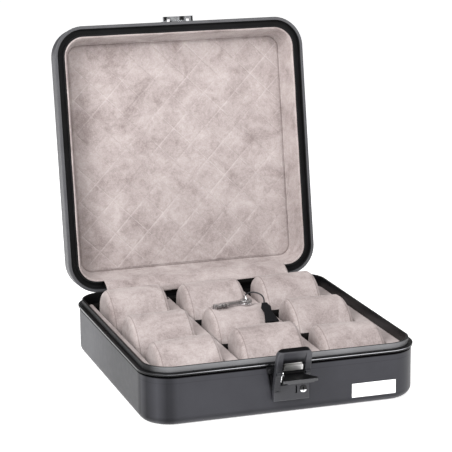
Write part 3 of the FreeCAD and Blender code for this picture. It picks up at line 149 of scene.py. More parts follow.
def new_finish(name):
    """Empty material with its node tree and its shader."""
    material = bpy.data.materials.new(name)
    material.use_nodes = True
    return material, material.node_tree, material.node_tree.nodes["Principled BSDF"]


def plain_finish(name, dark, light, rough, peel, metal=0.0, streak=(1, 1, 1), gloss=PLAIN_GLOSS):
    """Even finish: a faint cloud in the colour, uneven roughness and a fine peel."""
    material, tree, shader = new_finish(name)
    patches = cloud(tree, 30 * MM, 4, stretch=streak)
    tree.links.new(graded(tree, patches, (0.3, dark), (0.7, light)), shader.inputs["Base Color"])
    uneven = ranged(tree, cloud(tree, 6 * MM, 5, stretch=streak), *rough)
    tree.links.new(uneven, shader.inputs["Roughness"])
    shader.inputs["Metallic"].default_value = metal
    shader.inputs["Specular IOR Level"].default_value = gloss
    raised(tree, shader, (cloud(tree, 0.9 * MM, 2), peel))
    return material


def toned(material, tone, gloss=PLAIN_GLOSS):
    """Darken a finish, its shine too, by a tone."""
    tree = material.node_tree
    shader = tree.nodes["Principled BSDF"]
    colour = shader.inputs["Base Color"].links[0].from_socket
    tree.links.new(times(tree, colour, tone), shader.inputs["Base Color"])
    dimmed = tree.nodes.new("ShaderNodeMath")
    dimmed.operation = "MULTIPLY"
    dimmed.inputs[1].default_value = gloss
    tree.links.new(tone, dimmed.inputs[0])
    tree.links.new(dimmed.outputs[0], shader.inputs["Specular IOR Level"])


def paint(material, *nodes):
    """Put a finish on solids that show as they are."""
    for name in nodes:
        for material_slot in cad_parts[name].material_slots:
            material_slot.material = material


def shell_finish(name, gloss):
    """Dark grey anodising."""
    return plain_finish(name, (0.026, 0.026, 0.031), (0.032, 0.032, 0.038), rough=(0.38, 0.42),
                        peel=0.0015 * MM, gloss=gloss)


base_grey = shell_finish("anodised_grey_base", BASE_GLOSS)
tree = base_grey.node_tree
# Painted shade and painted reflections in the wall's colour: a dark strip under the bead, a soft darker band
# low down, a thin darker line across the wall, two dark bands round the front left corner, and the left wall
# darker towards the front.
up_wall_painted_shade = tones(tree, along(tree, "Z", 0, 50 * MM), (0.05, 1), (0.11, 0.72), (0.17, 1), (0.724, 1),
                (0.732, 0.8), (0.742, 1), (0.815, 1), (0.825, 0.04), (1.0, 0.04))
corner_painted_reflection = tones(tree, along(tree, "X", -122 * MM, -82 * MM), (0.05, 1), (0.14, 0.50), (0.30, 1),
                     (0.48, 0.48), (0.57, 0.54), (0.70, 0.9), (0.90, 1))
left_wall_painted_reflection = tones(tree, along(tree, "Y", -95 * MM, 60 * MM), (0.0, 0.52), (0.45, 0.54), (0.72, 0.72),
                  (1.0, 1))
on_left_wall = along(tree, "X", -119.0 * MM, -119.6 * MM)
sheen = times(tree, times(tree, up_wall_painted_shade, corner_painted_reflection), left_wall_painted_reflection, on_left_wall)
toned(base_grey, sheen, BASE_GLOSS)
paint(base_grey, "base_shell")
half_width, half_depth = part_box("base_shell")[1][0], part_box("base_shell")[1][1]

# Base valance: the closing frame, a bent aluminium profile pushed over the shell's edge.
# A rounded black bead lies outside, with a bright band along it that is a painted highlight, and a tongue
# stands up inside it and enters the lid's groove. Along the front the tongue's face is grey as a painted
# reflection;
# both fade towards the left and on the sides.
VERT, EDGE, FACE = bmesh.types.BMVert, bmesh.types.BMEdge, bmesh.types.BMFace
SAME_PLACE, CUT_SNAP = 0.001 * MM, 1e-7
CORNER_STEPS = 12
HALF_STEP = math.pi / (4 * CORNER_STEPS)
CASE_CORNER = 27 * MM
TONGUE_OUT, TONGUE_IN, TONGUE_RISE, TONGUE_ROOT = 2.4 * MM, 4.4 * MM, 4.5 * MM, 0.4 * MM
BASE_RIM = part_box("base_valance")[1][2] - TONGUE_RISE
BEAD_OUT, BEAD_DEEP = -1.2 * MM, 2.6 * MM
BRIGHT_LOW, BRIGHT_HIGH = 1.3 * MM, 0.8 * MM
BEAD_ROUND, TONGUE_ROUND = 0.7 * MM, 0.45 * MM
SHELL_OUT, SHELL_IN, SHELL_EDGE = -0.05 * MM, 1.55 * MM, 1.2 * MM
SKIRT_DEEP = 5.3 * MM
HAIR = 0.02 * MM
FLAP_GAP = 90 * MM
LONG_RUN, FRONT_SIDE, FRONT_CUTS = 60 * MM, -100 * MM, 12
SHEEN_LEAST, SHEEN_FROM, SHEEN_SPAN = 0.12, 0.55, 0.4
LEFT_SHARE, LEFT_FROM, LEFT_SPAN = 0.76, -92 * MM, 36 * MM


def outline_point(place, inset, level):
    """Where a point goes when the case's plan outline is moved inwards by inset and set at one height."""
    core_x, core_y = half_width - CASE_CORNER, half_depth - CASE_CORNER
    core = Vector((max(-core_x, min(core_x, place.x)), max(-core_y, min(core_y, place.y)), 0))
    outward = (Vector((place.x, place.y, 0)) - core).normalized()
    return core + outward * (CASE_CORNER - inset) / math.cos(HALF_STEP) + Vector((0, 0, level))


def only(kind, geom):
    """Parts of one kind out of an operator's result."""
    return [part for part in geom if isinstance(part, kind)]


def grown(bm, edges):
    """Extrude edges; gives the new verts, the edges between them and the band of faces."""
    geom = bmesh.ops.extrude_edge_only(bm, edges=edges)["geom"]
    fresh = only(VERT, geom)
    return fresh, [edge for edge in only(EDGE, geom) if set(edge.verts) <= set(fresh)], only(FACE, geom)


def sliced(bm, faces, point, normal):
    """Cut faces along a plane; gives the parts they are cut into."""
    geom = list({part for face in faces for part in (face, *face.edges, *face.verts)})
    return bmesh.ops.bisect_plane(bm, geom=geom, dist=CUT_SNAP, plane_co=point, plane_no=normal)["geom"]


def rim_loop(bm, inset, level):
    """Closed loop of edges on the case's plan outline."""
    made = bmesh.ops.create_circle(bm, segments=4 * CORNER_STEPS, radius=CASE_CORNER,
                                   matrix=Matrix.Rotation(HALF_STEP, 4, "Z"))["verts"]
    for vert in made:
        corner = Vector((math.copysign(half_width - CASE_CORNER, vert.co.x),
                         math.copysign(half_depth - CASE_CORNER, vert.co.y), 0))
        vert.co = outline_point(vert.co + corner, inset, level)
    return list({edge for vert in made for edge in vert.link_edges})


def next_loop(bm, edges, inset, level, finish=0):
    """Band of faces from a loop to the same outline at another inset and height; gives the new loop."""
    fresh, loop, band = grown(bm, edges)
    for vert in fresh:
        vert.co = outline_point(vert.co, inset, level)
    for face in band:
        face.material_index = finish
    return loop


def case_ring(bm, profile):
    """Closed frame whose section runs through (inset, height, finish) corners, the finish up to the next."""
    edges = rim_loop(bm, profile[0][0], profile[0][1])
    for (_, _, finish), (inset, level, _) in zip(profile, profile[1:] + profile[:1]):
        edges = next_loop(bm, edges, inset, level, finish)
    bmesh.ops.remove_doubles(bm, verts=bm.verts, dist=SAME_PLACE)


def loops_at(bm, corners):
    """Edges of a frame that run round at some corners of its section."""
    return [edge for inset, level, _ in corners for edge in bm.edges
            if all((outline_point(end.co, inset, level) - end.co).length < SAME_PLACE for end in edge.verts)]


def rounded(bm, edges, radius, steps=3):
    """Round edges off."""
    bmesh.ops.bevel(bm, geom=edges, offset=radius, segments=steps, profile=0.5, affect="EDGES", material=-1)


def cut_out_back(bm, faces, half_gap):
    """Remove the back run of a closed frame between two upright cuts, and close its ends."""
    for side in (-1, 1):
        behind = [face for face in faces if face.is_valid and face.calc_center_median().y > 0]
        faces = only(FACE, sliced(bm, behind, (side * half_gap, 0, 0), (1, 0, 0)))
    middle = [face for face in faces if abs(face.calc_center_median().x) < half_gap]
    bmesh.ops.delete(bm, geom=middle, context="FACES")
    bmesh.ops.holes_fill(bm, edges=[edge for edge in bm.edges if edge.is_boundary], sides=0)


def new_piece(name, bm, *materials):
    """Smooth mesh object at the origin from a finished bmesh."""
    bmesh.ops.recalc_face_normals(bm, faces=bm.faces)
    for face in bm.faces:
        face.smooth = True
    mesh = bpy.data.meshes.new(name)
    bm.to_mesh(mesh)
    bm.free()
    for material in materials:
        mesh.materials.append(material)
    piece = bpy.data.objects.new(name, mesh)
    bpy.context.scene.collection.objects.link(piece)
    return piece


def keep_corners(piece, angle=35):
    """Smooth shading that stays crisp where faces meet at more than an angle."""
    piece.data.set_sharp_from_angle(angle=math.radians(angle))


def painted_on(tree, name, output="Fac"):
    """What was painted on a mesh's points under a name."""
    node = tree.nodes.new("ShaderNodeAttribute")
    node.attribute_name = name
    return node.outputs[output]


frame_black = plain_finish("frame_black", (0.003, 0.003, 0.003), (0.006, 0.006, 0.007), rough=(0.26, 0.34),
                           peel=0.004 * MM, gloss=0.12)
# The tongue's grey front is a painted reflection and the bright band on the bead a painted highlight; both
# are dimmed by the share marked on the frame.
frame_painted_sheen = plain_finish("frame_grey_painted_sheen", (0.12, 0.12, 0.125), (0.15, 0.15, 0.155), rough=(0.45, 0.55),
                           peel=0.006 * MM)
toned(frame_painted_sheen, painted_on(frame_painted_sheen.node_tree, "painted_sheen", "Color"))
bead_painted_highlight = plain_finish("bead_painted_highlight_edge", (0.34, 0.34, 0.36), (0.42, 0.42, 0.44), rough=(0.18, 0.28),
                          peel=0.004 * MM, metal=1.0)
tree = bead_painted_highlight.node_tree
toned(bead_painted_highlight, tones(tree, painted_on(tree, "painted_sheen"), (0.12, 0.08), (0.76, 0.2), (0.97, 1)))
bm = bmesh.new()
bead = [(BEAD_OUT, BASE_RIM - BEAD_DEEP, 0), (BEAD_OUT, BASE_RIM - BRIGHT_LOW, 2),
        (BEAD_OUT, BASE_RIM - BRIGHT_HIGH, 0), (BEAD_OUT, BASE_RIM, 0), (TONGUE_IN, BASE_RIM, 0),
        (TONGUE_IN, BASE_RIM - SKIRT_DEEP, 0), (SHELL_IN, BASE_RIM - SKIRT_DEEP, 0),
        (SHELL_IN, BASE_RIM - SHELL_EDGE, 0), (SHELL_OUT, BASE_RIM - SHELL_EDGE, 0),
        (SHELL_OUT, BASE_RIM - BEAD_DEEP, 0)]
case_ring(bm, bead)
rounded(bm, loops_at(bm, (bead[0], bead[3])), BEAD_ROUND)
below = set(bm.faces)
tongue = [(TONGUE_OUT, BASE_RIM - TONGUE_ROOT, 1), (TONGUE_OUT, BASE_RIM + TONGUE_RISE, 0),
          (TONGUE_IN - HAIR, BASE_RIM + TONGUE_RISE, 0), (TONGUE_IN - HAIR, BASE_RIM - TONGUE_ROOT, 0)]
case_ring(bm, tongue)
rounded(bm, loops_at(bm, tongue[1:3]), TONGUE_ROUND, 2)
cut_out_back(bm, [face for face in bm.faces if face not in below], FLAP_GAP)
front_run = [edge for edge in bm.edges
             if edge.calc_length() > LONG_RUN and max(end.co.y for end in edge.verts) < FRONT_SIDE]
bmesh.ops.subdivide_edges(bm, edges=front_run, cuts=FRONT_CUTS, use_grid_fill=True)
# Share of painted reflection and highlight at each point: full where the frame faces the front, fading
# towards the left and little on the sides.
painted_sheen = bm.verts.layers.float.new("painted_sheen")
for vert in bm.verts:
    facing = -(outline_point(vert.co, 0, 0) - outline_point(vert.co, MM, 0)).normalized().y
    front_share = min(1, max(0, (facing - SHEEN_FROM) / SHEEN_SPAN))
    left_fade = LEFT_SHARE + (1 - LEFT_SHARE) * min(1, max(0, vert.co.x - LEFT_FROM) / LEFT_SPAN)
    vert[painted_sheen] = SHEEN_LEAST + (1 - SHEEN_LEAST) * front_share * left_fade
base_frame = new_piece("base_valance_frame", bm, frame_black, frame_painted_sheen, bead_painted_highlight)
keep_corners(base_frame)
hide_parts("base_valance")
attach(base_frame, "base")

# Floor board: grey millboard that lies in the shell under the tray.
# It is never seen with the tray in.
board_grey = plain_finish("millboard", (0.20, 0.19, 0.18), (0.28, 0.26, 0.24), rough=(0.8, 0.95),
                          peel=0.05 * MM)
paint(board_grey, "floor_board")

# Tray: foam board covered with taupe suede, pressed in under the frame, with three long wells lined with
# black felt below the suede's turned-down edge; that black also stands in for the shade deep in the wells.
# A strip of the same black lies at the back, under the flap, as painted shade, and the top is painted paler
# as painted light.
# The suede is a cut microfibre: its nap lies in light and dark patches where it was brushed.
SUEDE_LIGHT, SUEDE_MIDDLE, SUEDE_DARK = (0.420, 0.370, 0.360), (0.325, 0.278, 0.270), (0.215, 0.176, 0.170)
THREAD_BROWN, PAINTED_HIGHLIGHT_PALE = (0.10, 0.075, 0.07, 1), (0.56, 0.50, 0.49, 1)
LEDGE, TRAY_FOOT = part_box("tray")[1][2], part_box("tray")[0][2]
TRAY_INSET, FOOT_ROUND, MOUTH_ROUND = 1.85 * MM, 6 * MM, 2.2 * MM
WELL_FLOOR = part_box("row_dividers")[0][2]
COLUMNS = (-1, 0, 1)
COLUMN_PITCH, WELL_HALF, WELL_END = 73 * MM, 30 * MM, 112.5 * MM
WELL_SUEDE = 4 * MM
BACK_SHADE_FROM = 107 * MM
LEDGE_HIGHLIGHT, LEDGE_EDGE = 0.3, 3 * MM
FLAT = 1e-6


def brushed_suede(name):
    """Suede: broad brushed patches, small ones on top, a fine nap, darker stitching and a soft sheen."""
    material, tree, shader = new_finish(name)
    broad = cloud(tree, 26 * MM, 6, 0.62, 0.6)
    small = cloud(tree, 4.5 * MM, 7, 0.72, 0.5)
    nap = cloud(tree, 1.5 * MM, 6, 0.8, 0.3)
    fibre = cloud(tree, 0.8 * MM, 3, 0.7)
    shade = ranged(tree, broad, 0.0, 0.30)
    for factor, share in ((small, 0.40), (nap, 0.45), (fibre, 0.28)):
        added = tree.nodes.new("ShaderNodeMath")
        added.operation = "MULTIPLY_ADD"
        added.inputs[1].default_value = share
        tree.links.new(factor, added.inputs[0])
        tree.links.new(shade, added.inputs[2])
        shade = added.outputs[0]
    colour = graded(tree, shade, (0.53, SUEDE_DARK), (0.71, SUEDE_MIDDLE), (0.90, SUEDE_LIGHT))
    colour = mixed(tree, colour, THREAD_BROWN, painted_on(tree, "stitching"))
    # Pale painted highlight where the mesh is marked.
    colour = mixed(tree, colour, PAINTED_HIGHLIGHT_PALE, painted_on(tree, "pale_highlight"))
    tree.links.new(colour, shader.inputs["Base Color"])
    tree.links.new(ranged(tree, small, 0.86, 1.0), shader.inputs["Roughness"])
    shader.inputs["Specular IOR Level"].default_value = 0.15
    shader.inputs["Sheen Weight"].default_value = 0.20
    shader.inputs["Sheen Roughness"].default_value = 0.45
    shader.inputs["Sheen Tint"].default_value = (0.95, 0.90, 0.88, 1)
    raised(tree, shader, (small, 0.3 * MM), (nap, 0.2 * MM))
    return material


def on_ledge(bm):
    """Flat faces of the tray's top."""
    return [face for face in bm.faces if abs(face.calc_center_median().z - LEDGE) < FLAT]


def in_well(face, column):
    """Whether a face of the ledge lies over a column's well."""
    middle = face.calc_center_median()
    return abs(middle.x - column * COLUMN_PITCH) < WELL_HALF and abs(middle.y) < WELL_END


def sunk(bm, faces, depth):
    """Push faces straight down, with walls round them; gives the new bottom's faces and verts."""
    geom = bmesh.ops.extrude_face_region(bm, geom=faces)["geom"]
    bmesh.ops.delete(bm, geom=faces, context="FACES_ONLY")
    bottom = only(VERT, geom)
    bmesh.ops.translate(bm, verts=bottom, vec=(0, 0, -depth))
    return only(FACE, geom), bottom


suede = brushed_suede("taupe_suede")
felt_and_shade_black = plain_finish("black_felt_and_painted_shade", (0.004, 0.004, 0.004), (0.009, 0.008, 0.008), rough=(0.9, 1.0),
                          peel=0.15 * MM, gloss=0.04)
bm = bmesh.new()
foot = rim_loop(bm, TRAY_INSET, TRAY_FOOT)
brim = next_loop(bm, foot, TRAY_INSET, LEDGE)
bmesh.ops.edgeloop_fill(bm, edges=foot)
bmesh.ops.edgeloop_fill(bm, edges=brim)
rounded(bm, foot, FOOT_ROUND, 4)
for column in COLUMNS:
    for side in (-1, 1):
        sliced(bm, on_ledge(bm), (side * WELL_HALF + column * COLUMN_PITCH, 0, 0), (1, 0, 0))
for side in (-1, 1):
    sliced(bm, on_ledge(bm), (0, side * WELL_END, 0), (0, 1, 0))
for column in COLUMNS:
    top = [face for face in on_ledge(bm) if in_well(face, column)]
    mouth = [edge for face in top for edge in face.edges]
    turned_down, _ = sunk(bm, top, WELL_SUEDE)
    _, bottom = sunk(bm, turned_down, LEDGE - WELL_FLOOR - WELL_SUEDE)
    # Black felt on the wells' lower walls and floor, which also stands in for the shade deep in the wells.
    for face in {face for vert in bottom for face in vert.link_faces}:
        face.material_index = 1
    rounded(bm, [edge for edge in mouth if edge.is_valid], MOUTH_ROUND, 4)
# Painted shade: the ledge's back strip, under the flap, is black.
sliced(bm, on_ledge(bm), (0, BACK_SHADE_FROM, 0), (0, 1, 0))
for face in bm.faces:
    middle = face.calc_center_bounds()
    if middle.y > BACK_SHADE_FROM and abs(middle.x) < COLUMN_PITCH + WELL_HALF and middle.z > WELL_FLOOR:
        face.material_index = 1
# The tray's top is marked for the pale painted highlight, as painted light on it.
pale_highlight = bm.verts.layers.float.new("pale_highlight")
for vert in bm.verts:
    vert[pale_highlight] = LEDGE_HIGHLIGHT if vert.co.z > LEDGE - LEDGE_EDGE else 0
tray_suede = new_piece("tray_suede", bm, suede, felt_and_shade_black)
keep_corners(tray_suede)
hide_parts("tray")
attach(tray_suede, "base")

# Row dividers: board strips across the wells that keep the rows apart, covered in the wells' black felt.
# The black stands up above the board, most of all in the middle and right columns, as painted shade between
# the rows.
DIVIDERS_LOW, DIVIDERS_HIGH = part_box("row_dividers")
DIVIDER_AT = DIVIDERS_HIGH[1] - 3 * MM
# Column, top of the black and half thickness; the black above the board is painted shade between the rows.
DIVIDERS = ((-1, LEDGE - 9 * MM, 3 * MM), (0, LEDGE - 2.2 * MM, 3.5 * MM), (1, LEDGE - 0.4 * MM, 5 * MM))
DIVIDER_PLAY, DIVIDER_ROUND = 0.2 * MM, 2.6 * MM


def upper_long_edges(strip, height):
    """Edges of a strip that run along it above a height."""
    return list({edge for vert in strip for edge in vert.link_edges
                 if min(end.co.z for end in edge.verts) > height
                 and abs(edge.verts[0].co.x - edge.verts[1].co.x) > MM})


bm = bmesh.new()
for column, black_top, half_thick in DIVIDERS:
    for row in (-1, 1):
        middle = Vector((column * COLUMN_PITCH, row * DIVIDER_AT, (DIVIDERS_LOW[2] + black_top) / 2))
        size = (2 * WELL_HALF - DIVIDER_PLAY, 2 * half_thick, black_top - DIVIDERS_LOW[2])
        strip = bmesh.ops.create_cube(bm, size=1, matrix=Matrix.LocRotScale(middle, None, size))["verts"]
        rounded(bm, upper_long_edges(strip, middle.z), DIVIDER_ROUND, 4)
dividers = new_piece("row_dividers_felt_and_shade", bm, felt_and_shade_black)
keep_corners(dividers)
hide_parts("row_dividers")
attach(dividers, "base")

# Pillows: nine loose watch pillows, stuffed and sewn from suede. A band wraps round bottom, sides and crown,
# a flat panel is sewn into each end, and a row of stitching runs round just inside each edge.
# One is swelled by simulated pressure with its seams held, and all nine take its swelling.

# Crown at the left and at the right and set-back, in millimetres, and lean.
PILLOWS = {"front_left": (55.2, 57.5, 2, 0.3), "front_centre": (59.9, 61.1, 3, 0.3),
           "front_right": (55.0, 54.3, 3, 0.3), "middle_left": (57.4, 58.7, 0, 0.3),
           "middle_centre": (58.0, 57.6, 0, 0.25), "middle_right": (58.8, 57.8, 0, 0.3),
           "back_left": (59.6, 61.3, 0, 0.3), "back_centre": (59.5, 60.6, 0, 0.3),
           "back_right": (60.1, 60.2, 0, 0.3)}
PILLOW_HALF_LENGTH, PILLOW_HALF_DEPTH, PILLOW_HEIGHT = 27.4 * MM, 25.6 * MM, 51 * MM
SHOULDER = PILLOW_HEIGHT - PILLOW_HALF_DEPTH
STITCH_FROM_END, STITCH_SHADE = 3.0 * MM, 0.55
END_STEPS = [0.5 * MM, 1.0 * MM, 1.0 * MM, 0.5 * MM, 0.5 * MM, 1.0 * MM, 2.5 * MM]
MIDDLE_STEPS = 12
PANEL_RINGS = (0.98, 0.95, 0.92, 0.86, 0.78, 0.68, 0.55, 0.40)
PANEL_CENTRE = Vector((0, 0, 0.45 * PILLOW_HEIGHT))
ARC_STEPS, SIDE_CUTS, FOOT_CUTS = 30, 6, 12
# The swelled one is larger than life, where the cloth is steady.
SWELL_SCALE, SWELL_FRAMES, SWELL_PRESSURE = 8, 20, 4.0
SWELL_LIMIT = 1.3 * MM
HELD_BELOW, SOFT_FROM = 0.5 * MM, 20 * MM
LUMP_SIZE, LUMP_RISE = 17 * MM, 0.6 * MM
LUMPS_STEP_X, LUMPS_STEP_Y = 3.7, 11.3
PUCKER_SIZE, PUCKER_RISE, PUCKER_REACH = 2.6 * MM, 0.16 * MM, 7 * MM
STITCH_DIP, WELT_RISE, WELT_FROM = 0.45 * MM, 0.1 * MM, 0.4 * MM
EDGE_SOFTENING, SOFTENED_TO = 10, 0.9 * STITCH_FROM_END
CLOSE = 0.1 * MM
# Lumps and waves are drawn from one seed, so that each run gives the same ones.
NOISE_SEED = 1795602656


def in_order(bm):
    """The same closed mesh with its faces in a fixed order, so that the simulation repeats exactly."""
    bmesh.ops.recalc_face_normals(bm, faces=bm.faces)
    bm.verts.index_update()
    outlines = []
    for face in bm.faces:
        numbers = [vert.index for vert in face.verts]
        first = numbers.index(min(numbers))
        outlines.append(numbers[first:] + numbers[:first])
    ordered = bmesh.new()
    verts = [ordered.verts.new(vert.co) for vert in bm.verts]
    for numbers in sorted(outlines):
        ordered.faces.new([verts[number] for number in numbers])
    bm.free()
    return ordered


def pillow_blank():
    """Closed pillow before stuffing, its seat's middle at the origin."""
    bm = bmesh.new()
    start = bm.verts.new((-PILLOW_HALF_LENGTH, PILLOW_HALF_DEPTH, SHOULDER))
    bmesh.ops.spin(bm, geom=[start], cent=(-PILLOW_HALF_LENGTH, 0, SHOULDER), axis=(1, 0, 0),
                   angle=math.pi, steps=ARC_STEPS)
    shoulders = [min(bm.verts, key=lambda vert: vert.co.y), max(bm.verts, key=lambda vert: vert.co.y)]
    dropped = bmesh.ops.extrude_vert_indiv(bm, verts=shoulders)
    for foot in dropped["verts"]:
        foot.co.z = 0
    bmesh.ops.subdivide_edges(bm, edges=dropped["edges"], cuts=SIDE_CUTS)
    feet = [vert for vert in bm.verts if vert.co.z < CLOSE]
    under = bmesh.ops.contextual_create(bm, geom=feet)["edges"]
    bmesh.ops.subdivide_edges(bm, edges=under, cuts=FOOT_CUTS)
    middle_step = 2 * (PILLOW_HALF_LENGTH - sum(END_STEPS)) / MIDDLE_STEPS
    edges = bm.edges[:]
    for length in END_STEPS + [middle_step] * MIDDLE_STEPS + END_STEPS[::-1]:
        fresh, edges, _ = grown(bm, edges)
        bmesh.ops.translate(bm, verts=fresh, vec=(length, 0, 0))
    for end in (-1, 1):
        edges = [edge for edge in bm.edges if edge.is_boundary and edge.verts[0].co.x * end > 0]
        inner = 1
        for share in PANEL_RINGS:
            ring, edges, _ = grown(bm, edges)
            bmesh.ops.scale(bm, verts=ring, vec=(1, share / inner, share / inner),
                            space=Matrix.Translation(-PANEL_CENTRE))
            inner = share
        bmesh.ops.poke(bm, faces=bmesh.ops.edgeloop_fill(bm, edges=edges)["faces"])
    return in_order(bm)


def from_end(place):
    """How far a place on the blank is from the nearer end panel."""
    return PILLOW_HALF_LENGTH - abs(place.x)


def on_stitching(place):
    """Whether a place on the blank lies on the row of stitching."""
    return abs(from_end(place) - STITCH_FROM_END) < CLOSE


def swelled(piece):
    """Blow up a closed mesh for a few frames with its held verts fixed, and give the new places."""
    scene = bpy.context.scene
    cloth = piece.modifiers.new("stuffing", "CLOTH")
    cloth.settings.use_pressure = True
    cloth.settings.uniform_pressure_force = SWELL_PRESSURE
    cloth.settings.effector_weights.gravity = 0
    cloth.settings.vertex_group_mass = "held"
    cloth.point_cache.frame_end = SWELL_FRAMES
    for number in range(1, SWELL_FRAMES + 1):
        scene.frame_set(number)
    depsgraph = bpy.context.evaluated_depsgraph_get()
    places = [vert.co.copy() for vert in piece.evaluated_get(depsgraph).data.vertices]
    scene.frame_set(1)
    piece.modifiers.clear()
    return places


noise.seed_set(NOISE_SEED)
bm = pillow_blank()
blank_places = [vert.co.copy() for vert in bm.verts]
bmesh.ops.scale(bm, vec=(SWELL_SCALE,) * 3, verts=bm.verts)
trial = new_piece("pillow_trial", bm)
held = trial.vertex_groups.new(name="held")
held.add([vert for vert, place in enumerate(blank_places) if on_stitching(place) or place.z < HELD_BELOW],
         1, "REPLACE")
swell = [Vector()] * len(blank_places)
swell = [(after / SWELL_SCALE - before) for after, before in zip(swelled(trial), blank_places)]
bpy.data.objects.remove(trial)
for number, (spot, (left_crown, right_crown, set_back, lean)) in enumerate(PILLOWS.items()):
    node = f"pillow_{spot}"
    low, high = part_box(node)
    seat = Vector(((low[0] + high[0]) / 2, (low[1] + high[1]) / 2 + set_back * MM, low[2]))
    lumps_at = Vector((LUMPS_STEP_X * number, LUMPS_STEP_Y * number, 0))
    bm = pillow_blank()
    stitching = bm.verts.layers.float.new("stitching")
    for vert, before, moved in zip(bm.verts, blank_places, swell):
        share = min(1, before.z / SOFT_FROM)
        outward = Vector((0, before.y, max(0, before.z - SHOULDER))).normalized()
        place = before + moved * min(1, SWELL_LIMIT / max(moved.length, 1e-9))
        place += noise.noise_vector(before / LUMP_SIZE + lumps_at) * LUMP_RISE * share
        near_end = max(0, 1 - from_end(before) / PUCKER_REACH)
        place += outward * noise.noise(before / PUCKER_SIZE + lumps_at) * PUCKER_RISE * near_end * share
        if on_stitching(before):
            vert[stitching] = STITCH_SHADE * share
            place -= outward * STITCH_DIP
        elif WELT_FROM < from_end(before) < STITCH_FROM_END:
            place += outward * WELT_RISE
        crown = left_crown + (right_crown - left_crown) * (before.x / PILLOW_HALF_LENGTH + 1) / 2
        place.y += lean * max(0, place.z - SHOULDER)
        place.z *= (crown * MM - seat.z) / PILLOW_HEIGHT
        vert.co = seat + place
        vert.co.z = max(vert.co.z, seat.z)
    ends = [vert for vert, before in zip(bm.verts, blank_places) if from_end(before) < SOFTENED_TO]
    for _ in range(EDGE_SOFTENING):
        bmesh.ops.smooth_vert(bm, verts=ends, factor=0.5, use_axis_x=True, use_axis_y=True, use_axis_z=True)
    pillow = new_piece(f"{node}_suede", bm, suede)
    rounding = pillow.modifiers.new("rounding", "SUBSURF")
    rounding.levels = rounding.render_levels = 1
    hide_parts(node)
    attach(pillow, node)

# Lid shell: drawn and anodised like the base, and shinier where it catches the light.
# It stands open on its hinges, so what lines it is drawn shut and then turned open.
paint(shell_finish("anodised_grey_lid", LID_GLOSS), "lid_shell")
HINGE_POINT = Vector((0, 125.7 * MM, 44.9 * MM))
LID_TURN = Matrix.Rotation(math.radians(-99.77), 3, "X")


def open_lid(bm):
    """Turn what was drawn with the lid shut to where the lid stands open."""
    bmesh.ops.rotate(bm, verts=bm.verts, cent=HINGE_POINT, matrix=LID_TURN)


# Lid valance: the matching frame of the lid. Its grey bead meets the base's, and a deep black groove takes
# the tongue. A ridge closes the groove inside, except at the back, where the hinge flap passes.
LID_RIM = BASE_RIM + 0.3 * MM
GROOVE_OUT, GROOVE_IN, GROOVE_DEEP, GROOVE_CHAMFER = 2.1 * MM, 7.0 * MM, 4.5 * MM, 0.5 * MM
RIDGE_IN, RIDGE_FOOT, RIDGE_ROOT = 8.3 * MM, 0.6 * MM, 4.6 * MM
LID_SKIRT_DEEP, LID_SHELL_EDGE = 6.1 * MM, 1.25 * MM
LID_BEAD_ROUND, RIDGE_ROUND = 0.8 * MM, 0.35 * MM
bm = bmesh.new()
bead = [(BEAD_OUT, LID_RIM + BEAD_DEEP, 1), (BEAD_OUT, LID_RIM, 1), (GROOVE_OUT - GROOVE_CHAMFER, LID_RIM, 0),
        (GROOVE_OUT, LID_RIM + GROOVE_CHAMFER, 0), (GROOVE_OUT, LID_RIM + GROOVE_DEEP, 0),
        (RIDGE_IN, LID_RIM + GROOVE_DEEP, 0), (RIDGE_IN, LID_RIM + LID_SKIRT_DEEP, 0),
        (SHELL_IN, LID_RIM + LID_SKIRT_DEEP, 0), (SHELL_IN, LID_RIM + LID_SHELL_EDGE, 0),
        (SHELL_OUT, LID_RIM + LID_SHELL_EDGE, 0), (SHELL_OUT, LID_RIM + BEAD_DEEP, 1)]
case_ring(bm, bead)
rounded(bm, loops_at(bm, bead[:2]), LID_BEAD_ROUND)
below = set(bm.faces)
ridge = [(GROOVE_IN, LID_RIM + RIDGE_ROOT, 0), (GROOVE_IN, LID_RIM + RIDGE_FOOT, 0),
         (RIDGE_IN - HAIR, LID_RIM + RIDGE_FOOT, 0), (RIDGE_IN - HAIR, LID_RIM + RIDGE_ROOT, 0)]
case_ring(bm, ridge)
rounded(bm, loops_at(bm, ridge[1:3]), RIDGE_ROUND, 2)
cut_out_back(bm, [face for face in bm.faces if face not in below], FLAP_GAP)
open_lid(bm)
bead_grey = plain_finish("satin_bead_grey", (0.040, 0.040, 0.044), (0.055, 0.055, 0.060), rough=(0.4, 0.5),
                         peel=0.006 * MM)
groove_black = plain_finish("matt_black", (0.004, 0.004, 0.004), (0.008, 0.008, 0.009), rough=(0.5, 0.6),
                            peel=0.01 * MM, gloss=0.12)
lid_frame = new_piece("lid_valance_frame", bm, groove_black, bead_grey)
keep_corners(lid_frame)
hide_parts("lid_valance")
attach(lid_frame, "lid")

# Lid wall lining: suede over thin foam, glued to the lid's walls. It rolls over at the rim and leans in
# to the panel.
LID_CEILING = LID_RIM + 25.5 * MM
LINING_RIM = LID_RIM + 0.9 * MM
LINING_SLOPE, LINING_THICK, LINING_PUFF = 5.4 * MM, 1.5 * MM, 0.5 * MM
LINING_STEPS, LINING_CUTS = 12, 24
ROLL_SHARE = 0.03
FILLET, FILLET_FROM = 2.3 * MM, 0.7
WAVE_SIZE, WAVE_RISE = 22 * MM, 0.25 * MM


def lining_place(share, lift):
    """Inset and height on the lining, a share of the way from rim to ceiling and lifted off the wall."""
    return RIDGE_IN + share * LINING_SLOPE + lift, LINING_RIM + share * (LID_CEILING - LINING_RIM), 0


